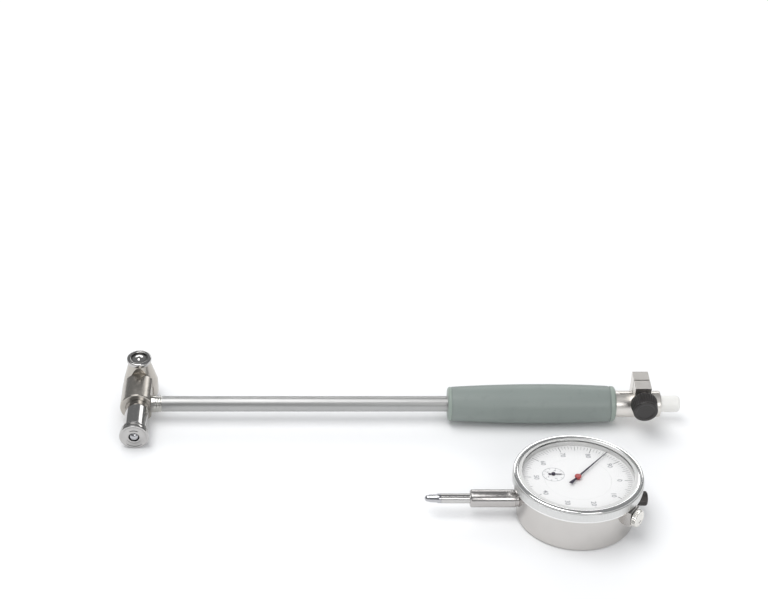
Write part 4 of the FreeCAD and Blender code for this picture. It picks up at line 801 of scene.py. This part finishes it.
@dataclass
class CollarLooks:
    """Split collar with its pinch block, the clamp knob and the plug."""

    layout: Layout
    flutes: int = 36
    flute_depth: float = 0.22
    face_radius: float = 5.8
    neck_radius: float = 4.0
    neck_length: float = 3.0
    screw_radius: float = 1.45
    skirt_steps: int = 6

    def make(self) -> None:
        """Builds the clamp end of the holder."""
        nodes = self.layout.nodes
        dressed(nodes["indicator_collar"], Finishes.collar.material())
        dressed(nodes["clamp_screw"], Finishes.spindle.material())
        self.make_knob()
        self.make_plug()

    def make_knob(self) -> None:
        """Builds the knob: fluted skirt, rounded rims, shallow dished face."""
        seat = self.layout.holder
        low, high = self.layout.span(seat, "clamp_knob")
        middle_x, middle_z = (low.x + high.x) / 2, (low.z + high.z) / 2
        here = seat.shifted(along=middle_x, up=middle_z)
        outer = (high.x - low.x) / 2
        front, neck = low.y, high.y
        back, face, shank = neck - self.neck_length, self.face_radius, self.screw_radius

        def flute(along: float, out: float, angle: float) -> float:
            """Returns the radius inside a flute of the skirt."""
            if out < face - 0.25 or along > back - 0.4 or along < front + 0.7:
                return out
            return out - self.flute_depth * (0.5 - 0.5 * math.cos(angle * self.flutes)) ** 0.7

        shares = [step / self.skirt_steps for step in range(self.skirt_steps + 1)]
        side = [Knot(front + 1.0 + (back - front - 2.2) * share, face + (outer - face) * share)
                for share in shares]
        knob = Turned("knob_moulding", here, Axis.Y, [
            Knot(front + 0.35, 0), Knot(front + 0.35, 3.9, 0.3), Knot(front, 4.4, 0.3), Knot(front, face, 0.6),
            *side, Knot(back - 0.5, outer, 0.3), Knot(back, outer - 0.8, 0.2),
            Knot(back, self.neck_radius, 0.15), Knot(neck, self.neck_radius, 0.3), Knot(neck, shank),
            Knot(front + 2, shank), Knot(front + 2, 0)], Finishes.knob, 288, 5, flute, 40)
        stand_for(knob.make(), "clamp", "black_plastic", "clamp_knob")

    def make_plug(self) -> None:
        """Builds the white plug with its chamfered end."""
        seat = self.layout.holder
        low, high = self.layout.span(seat, "transit_plug")
        out = high.z
        plug = Turned("plug_moulding", seat, Axis.X, [
            Knot(low.x, 2.1), Knot(low.x, out, 0.6), Knot(high.x - 1.1, out, 0.3), Knot(high.x, out - 0.8, 0.35),
            Knot(high.x, 1.6, 0.15), Knot(high.x - 0.5, 1.2, 0.15), Knot(high.x - 0.5, 0)], Finishes.plug, 80, 5)
        stand_for(plug.make(), "holder", "white_plastic", "transit_plug")


# ---------------------------------------------------------------- indicator


@dataclass
class HousingLooks:
    """Case, back, stem, spindle, contact point, cap and bezel lock."""

    layout: Layout
    spindle_bore: float = 2.3
    stub_radius: float = 3.6
    shoulder: float = -26.5
    ball_radius: float = 1.5
    flange_radius: float = 2.2
    thread_radius: float = 1.2
    cap_bore: float = 2.7
    cap_ridges: int = 28
    lock_angle: float = math.radians(-40.0)
    lock_width: float = 2.4
    lock_shank: float = 1.2
    lock_ridges: int = 30

    def make(self) -> None:
        """Builds the housing's turned pieces and dresses the rest."""
        nodes = self.layout.nodes
        dressed(nodes["indicator_case"], Finishes.case.material())
        dressed(nodes["back_plate"], Finishes.case.material())
        dressed(nodes["back_screws"], Finishes.bright.material())
        dressed(nodes["upper_bush"], Finishes.stem.material())
        dressed(nodes["bezel_lock_lug"], Finishes.case.material())
        dressed(nodes["spindle"], Finishes.spindle.material())
        self.make_stem()
        self.make_point()
        self.make_cap()
        self.make_lock_knob()

    def make_stem(self) -> None:
        """Builds the ground stem with a chamfered mouth."""
        seat = self.layout.indicator
        low, high = self.layout.span(seat, "indicator_stem")
        out, bore, step = high.y, self.spindle_bore, self.shoulder
        stem = Turned("stem_turning", seat, Axis.X, [
            Knot(low.x, bore), Knot(low.x, out - 0.5, 0.2), Knot(low.x + 0.5, out, 0.25),
            Knot(step - 0.9, out, 0.1), Knot(step - 0.7, out - 0.2, 0.05), Knot(step, out - 0.2, 0.05),
            Knot(step, self.stub_radius), Knot(high.x, self.stub_radius), Knot(high.x, bore)],
            Finishes.stem, 80, 4)
        stand_for(stem.make(), "holder", "satin_steel", "indicator_stem")

    def make_point(self) -> None:
        """Builds the screw-in contact point: flange, taper and ball."""
        seat = self.layout.indicator
        low, high = self.layout.span(seat, "contact_point")
        ball, thread, flange = self.ball_radius, self.thread_radius, self.flange_radius
        seat_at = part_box("spindle")[0].x / MM - seat.place(0, 0, 0).x / MM
        arc = []
        for step in range(1, 9):
            angle = math.pi / 2 * step / 8
            arc.append(Knot(low.x + ball - ball * math.cos(angle), ball * math.sin(angle)))
        point = Turned("contact_point_turning", seat, Axis.X, [
            Knot(low.x, 0), *arc, Knot(low.x + 2.0, 1.55), Knot(low.x + 2.1, 1.75, 0.08),
            Knot(seat_at - 1.6, 1.9, 0.1), Knot(seat_at - 1.6, flange, 0.12), Knot(seat_at, flange, 0.15),
            Knot(seat_at, thread), Knot(high.x, thread), Knot(high.x, 0)], Finishes.carbide, 64, 3)
        stand_for(point.make(), "spindle", "hard_steel", "contact_point")

    def make_cap(self) -> None:
        """Builds the knurled cap over the spindle's tail."""
        seat = self.layout.indicator
        low, high = self.layout.span(seat, "spindle_cap")
        outer = high.y

        def knurl(along: float, out: float, angle: float) -> float:
            """Returns the radius inside a groove of the cap's knurl."""
            if out < outer - 0.1 or along > high.x - 0.8 or along < low.x + 0.4:
                return out
            return out - 0.16 * (0.5 + 0.5 * math.cos(angle * self.cap_ridges))

        cap = Turned("cap_turning", seat, Axis.X, [
            Knot(low.x, self.cap_bore), Knot(low.x, outer - 0.1, 0.15),
            *even_rings(low.x + 0.5, high.x - 0.9, outer, 4),
            Knot(high.x - 0.5, outer - 0.05, 0.2), Knot(high.x, outer - 0.6, 0.25), Knot(high.x, 0)],
            Finishes.dark, 224, 4, knurl, 40)
        stand_for(cap.make(), "holder", "dark_steel", "spindle_cap")

    def make_lock_knob(self) -> None:
        """Builds the knurled screw that locks the bezel."""
        seat = self.layout.indicator
        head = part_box("bezel_lock_screw")
        height = ((head[0] + head[1]) / 2).z / MM - seat.place(0, 0, 0).z / MM
        here = seat.shifted(up=height, spin=self.lock_angle)
        low, high = here.extent(self.layout.nodes["bezel_lock_screw"])
        outer = high.y
        start = high.x - self.lock_width

        def knurl(along: float, out: float, angle: float) -> float:
            """Returns the radius inside a groove of the knob's knurl."""
            if out < outer - 0.1 or along > high.x - 0.35 or along < start + 0.35:
                return out
            return out - 0.22 * (0.5 + 0.5 * math.cos(angle * self.lock_ridges))

        knob = Turned("lock_knob_turning", here, Axis.X, [
            Knot(low.x, 0), Knot(low.x, self.lock_shank, 0.15), Knot(start, self.lock_shank),
            Knot(start, outer - 0.1, 0.2),
            *even_rings(start + 0.4, high.x - 0.4, outer, 3), Knot(high.x - 0.1, outer - 0.3, 0.15),
            Knot(high.x, outer - 0.8, 0.2), Knot(high.x, 2.2, 0.2), Knot(high.x - 0.3, 1.8, 0.15),
            Knot(high.x - 0.3, 0)], Finishes.bright, 240, 4, knurl, 40)
        stand_for(knob.make(), "bezel_lock", "chrome", "bezel_lock_screw")


@dataclass
class BezelLooks:
    """The turned bezel with its knurled band and polished rims, and the crystal."""

    layout: Layout
    knurls: int = 120
    knurl_depth: float = 0.16
    opening: float = 24.8
    bore: float = 25.05
    rim_inner: float = 26.9

    def make(self) -> None:
        """Builds the bezel and dresses the crystal."""
        seat, nodes = self.layout.indicator, self.layout.nodes
        low, high = self.layout.span(seat, "bezel")
        outer, bottom, top = high.x, low.z, high.z
        opening, bore = self.opening, self.bore
        crystal_low, crystal_high = self.layout.span(seat, "crystal")

        def knurl(along: float, out: float, angle: float) -> float:
            """Returns the radius inside a groove of the bezel's band."""
            if out < outer - 0.05 or along > top - 1.7 or along < bottom + 1.3:
                return out
            return out - self.knurl_depth * (0.5 + 0.5 * math.cos(angle * self.knurls))

        band = even_rings(bottom + 1.1, top - 1.5, outer, 6)
        knots = [
            Knot(bottom, bore), Knot(bottom, outer - 0.5, 0.3), Knot(bottom + 0.35, outer - 0.05, 0.25),
            Knot(bottom + 1.0, outer - 0.02, 0.12), *band, Knot(top - 1.35, outer, 0.15),
            Knot(top - 1.25, outer - 0.35, 0.1), Knot(top - 0.95, outer - 0.35, 0.1),
            Knot(top - 0.85, outer - 0.1, 0.15), Knot(top - 0.3, outer - 0.3, 0.3),
            Knot(top, outer - 0.9, 0.3), Knot(top, self.rim_inner, 0.25),
            Knot(top - 0.3, self.rim_inner - 0.6, 0.2),
            Knot(crystal_high.z + 0.06, opening + 0.1, 0.05), Knot(crystal_high.z, opening),
            Knot(crystal_high.z, crystal_high.x), Knot(crystal_low.z, crystal_high.x), Knot(crystal_low.z, bore)]
        bezel = Turned("bezel_turning", seat, Axis.Z, knots, Finishes.bezel, 480, 4, knurl, 40).make()
        bezel.data.materials.append(Finishes.rim.material())
        inverse = seat.matrix.inverted()
        for polygon in bezel.data.polygons:
            spot = inverse @ polygon.center
            out = math.hypot(spot.x, spot.y)
            if (spot.z > top - 0.6 and out > 26.6) or (spot.z < bottom + 0.9 and out > 28.2):
                polygon.material_index = 1
        stand_for(bezel, "bezel", "aluminium", "bezel")
        dressed(nodes["crystal"], crystal_material())


@dataclass
class DialLooks:
    """The dial's faces, their print, and the pointers."""

    layout: Layout
    repeat: RoundRepeat
    divisions: int = 100
    print_height: float = 0.02
    offset: float = math.radians(-3.5)
    outer_mark: float = 24.2
    number_circle: float = 18.4
    number_height: float = 2.3
    counter_circle: float = 2.95
    counter_height: float = 1.0

    def make(self) -> None:
        """Builds the print on both dials and dresses the faces and pointers."""
        nodes = self.layout.nodes
        for node in ("scale_ring", "inner_dial"):
            dressed(nodes[node], Finishes.dial.material())
        for node in ("main_pointer", "small_pointer"):
            dressed(nodes[node], Finishes.pointer.material())
        dressed(nodes["pointer_hub"], Finishes.hub.material())
        high = self.layout.span(self.layout.indicator, "scale_ring")[1]
        face = self.layout.indicator.shifted(up=high.z)
        self.make_scale(face)
        self.make_counter(face)

    def make_scale(self, face: Seat) -> None:
        """Prints the marks and numbers of the main scale, which turn with the bezel."""
        parts = []
        for name, every, length, width, finish in (
                ("fine", 1, 2.0, 0.13, Finishes.print_dark), ("fifth", 5, 2.9, 0.16, Finishes.print_dark),
                ("tenth", 10, 3.6, 0.24, Finishes.print_dark)):
            unit = slab_mesh(f"{name}_mark_unit", length, width, self.print_height)
            parts.append(self.repeat.bake(f"{name}_marks", unit, self.divisions // every,
                                          self.outer_mark - length / 2, face, finish.material(), self.offset))
        for index in range(10):
            angle = self.offset - 2 * math.pi * index / 10
            middle = Vector((math.cos(angle), math.sin(angle), 0)) * self.number_circle
            parts.append(self.number(str(index * 10), face, middle, self.number_height))
        scale = joined("scale_print", parts)
        stand_for(scale, "bezel", "pointer_black")

    def number(self, text: str, face: Seat, middle: Vector, size: float) -> bpy.types.Object:
        """Prints a number upright on the dial, its top toward +X.

        Args:
            text: the figure.
            face: seat of the dial's face.
            middle: where its middle lies.
            size: height of a digit, in millimetres.

        Returns:
            The number as a thin mesh.
        """
        curve = bpy.data.curves.new("number_" + text, "FONT")
        curve.body = text
        curve.size = size * 1.38
        curve.align_x = "CENTER"
        curve.align_y = "CENTER"
        curve.extrude = self.print_height / 2
        curve.resolution_u = 3
        curve.offset = 0.03
        figure = bpy.data.objects.new("number_" + text, curve)
        bpy.context.scene.collection.objects.link(figure)
        bpy.context.view_layer.update()
        shown = figure.evaluated_get(bpy.context.evaluated_depsgraph_get())
        mesh = bpy.data.meshes.new_from_object(shown)
        bpy.data.objects.remove(figure)
        upright = Matrix.Rotation(-math.pi / 2, 4, "Z")
        mesh.transform(Matrix.Translation((*middle.xy, self.print_height / 2)) @ upright)
        mesh.transform(face.matrix)
        mesh.materials.clear()
        return new_object("number_piece_" + text, mesh, Finishes.print_grey.material())

    def make_counter(self, face: Seat) -> None:
        """Prints the revolution counter's ring, marks and numbers on the inner dial."""
        at = self.layout.counter_at
        here = face.shifted(along=at.x, beside=at.y)
        parts = []
        ring = Turned("counter_ring", here, Axis.Z, [
            Knot(0, 4.75), Knot(0, 4.95), Knot(self.print_height, 4.93), Knot(self.print_height, 4.77)],
            Finishes.print_grey, 96, 1).make()
        parts.append(ring)
        unit = slab_mesh("counter_mark_unit", 0.9, 0.14, self.print_height)
        parts.append(self.repeat.bake("counter_marks", unit, 10, 4.3, here, Finishes.print_dark.material()))
        for index in range(0, 10, 2):
            angle = -2 * math.pi * index / 10
            middle = Vector((math.cos(angle), math.sin(angle), 0)) * self.counter_circle
            parts.append(self.number(str(index), here, middle, self.counter_height))
        stand_for(joined("counter_print", parts), "holder", "pointer_black")


@dataclass
class InnerLooks:
    """Finishes for the pieces inside both tools."""

    layout: Layout

    def make(self) -> None:
        """Dresses every inner CAD node."""
        nodes = self.layout.nodes
        plan = {
            Finishes.spindle: ("bell_crank", "crank_pin", "push_rod", "centre_arbor"),
            Finishes.spring: ("centring_spring", "push_rod_spring", "hairspring"),
            Finishes.brass: ("transfer_arbor", "takeup_gear", "movement_plate", "bridge_plate"),
            Finishes.stem: ("movement_pillars", "movement_screws"),
        }
        for finish, names in plan.items():
            for name in names:
                dressed(nodes[name], finish.material())


# ---------------------------------------------------------------- stage


@dataclass
class Stage:
    """Pale floor, soft studio light and the camera."""

    floor_tone: tuple[float, float, float] = (0.93, 0.93, 0.935)
    floor_half: float = 4.0
    world_tone: tuple[float, float, float] = (0.96, 0.98, 1.0)
    world_level: float = 0.62
    glossy_level: float = 0.26
    camera_at: tuple[float, float, float] = (-0.0415, -0.6604, 0.4915)
    pitch: float = math.radians(31.3)
    focal_pixels: float = 1747.0
    picture: tuple[int, int] = (768, 600)
    shift: float = 70 / 768

    def make(self) -> None:
        """Builds the stage."""
        self.make_floor()
        self.make_world()
        self.make_lights()
        self.make_camera()
        bpy.context.scene.view_settings.view_transform = "Standard"

    def make_floor(self) -> None:
        """Lays a pale floor under the object."""

        def build(made: bmesh.types.BMesh) -> None:
            """Adds the floor's grid."""
            bmesh.ops.create_grid(made, x_segments=2, y_segments=2, size=self.floor_half)

        tone = Finish("pale_floor", self.floor_tone, 0.0, 0.75, 300, (1, 1, 1), 0.00001, 0.004)
        new_object("floor", mesh_of("floor", build), tone.material())

    def make_world(self) -> None:
        """Sets an even pale world, dimmer in reflections so that metal keeps its contrast."""
        world = bpy.data.worlds.new("studio")
        bpy.context.scene.world = world
        world.use_nodes = True
        nodes, links = world.node_tree.nodes, world.node_tree.links
        back = nodes["Background"]
        back.inputs["Color"].default_value = (*self.world_tone, 1)
        path = nodes.new("ShaderNodeLightPath")
        level = nodes.new("ShaderNodeMix")
        level.inputs[2].default_value = self.world_level
        level.inputs[3].default_value = self.glossy_level
        links.new(path.outputs["Is Glossy Ray"], level.inputs[0])
        links.new(level.outputs[0], back.inputs["Strength"])

    def make_lights(self) -> None:
        """Hangs one broad soft light over the tools and weaker ones in front and behind."""
        for name, spot, aim, size, power in (
                ("key", (-0.35, -0.10, 1.25), (0.0, 0.0, 0.0), (1.3, 0.7), 9.0),
                ("front", (0.45, -1.25, 0.75), (0.0, 0.0, 0.02), (0.8, 0.5), 4.0),
                ("back", (0.1, 1.1, 0.6), (0.0, 0.0, 0.0), (1.2, 0.35), 3.0)):
            lamp = bpy.data.lights.new(name, "AREA")
            lamp.shape = "RECTANGLE"
            lamp.size, lamp.size_y = size
            lamp.energy = power
            light = bpy.data.objects.new(name, lamp)
            light.location = spot
            light.rotation_euler = (Vector(aim) - Vector(spot)).to_track_quat("-Z", "Y").to_euler()
            bpy.context.scene.collection.objects.link(light)

    def make_camera(self) -> None:
        """Sets the camera where the picture was taken from."""
        lens = bpy.data.cameras.new("camera")
        lens.sensor_width = 36.0
        lens.lens = self.focal_pixels / self.picture[0] * lens.sensor_width
        lens.shift_x = self.shift
        lens.clip_start = 0.01
        camera = bpy.data.objects.new("camera", lens)
        camera.location = self.camera_at
        camera.rotation_euler = (math.pi / 2 - self.pitch, 0.0, 0.0)
        bpy.context.scene.collection.objects.link(camera)
        bpy.context.scene.camera = camera


def main() -> None:
    """Builds the looks round the frame."""
    logging.basicConfig(level=logging.INFO)
    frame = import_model()
    layout = Layout(frame)
    repeat = RoundRepeat("round_repeat")
    HeadLooks(layout).make()
    StemLooks(layout).make()
    CollarLooks(layout).make()
    HousingLooks(layout).make()
    BezelLooks(layout).make()
    DialLooks(layout, repeat).make()
    InnerLooks(layout).make()
    Stage().make()


if __name__ == "__main__":
    main()
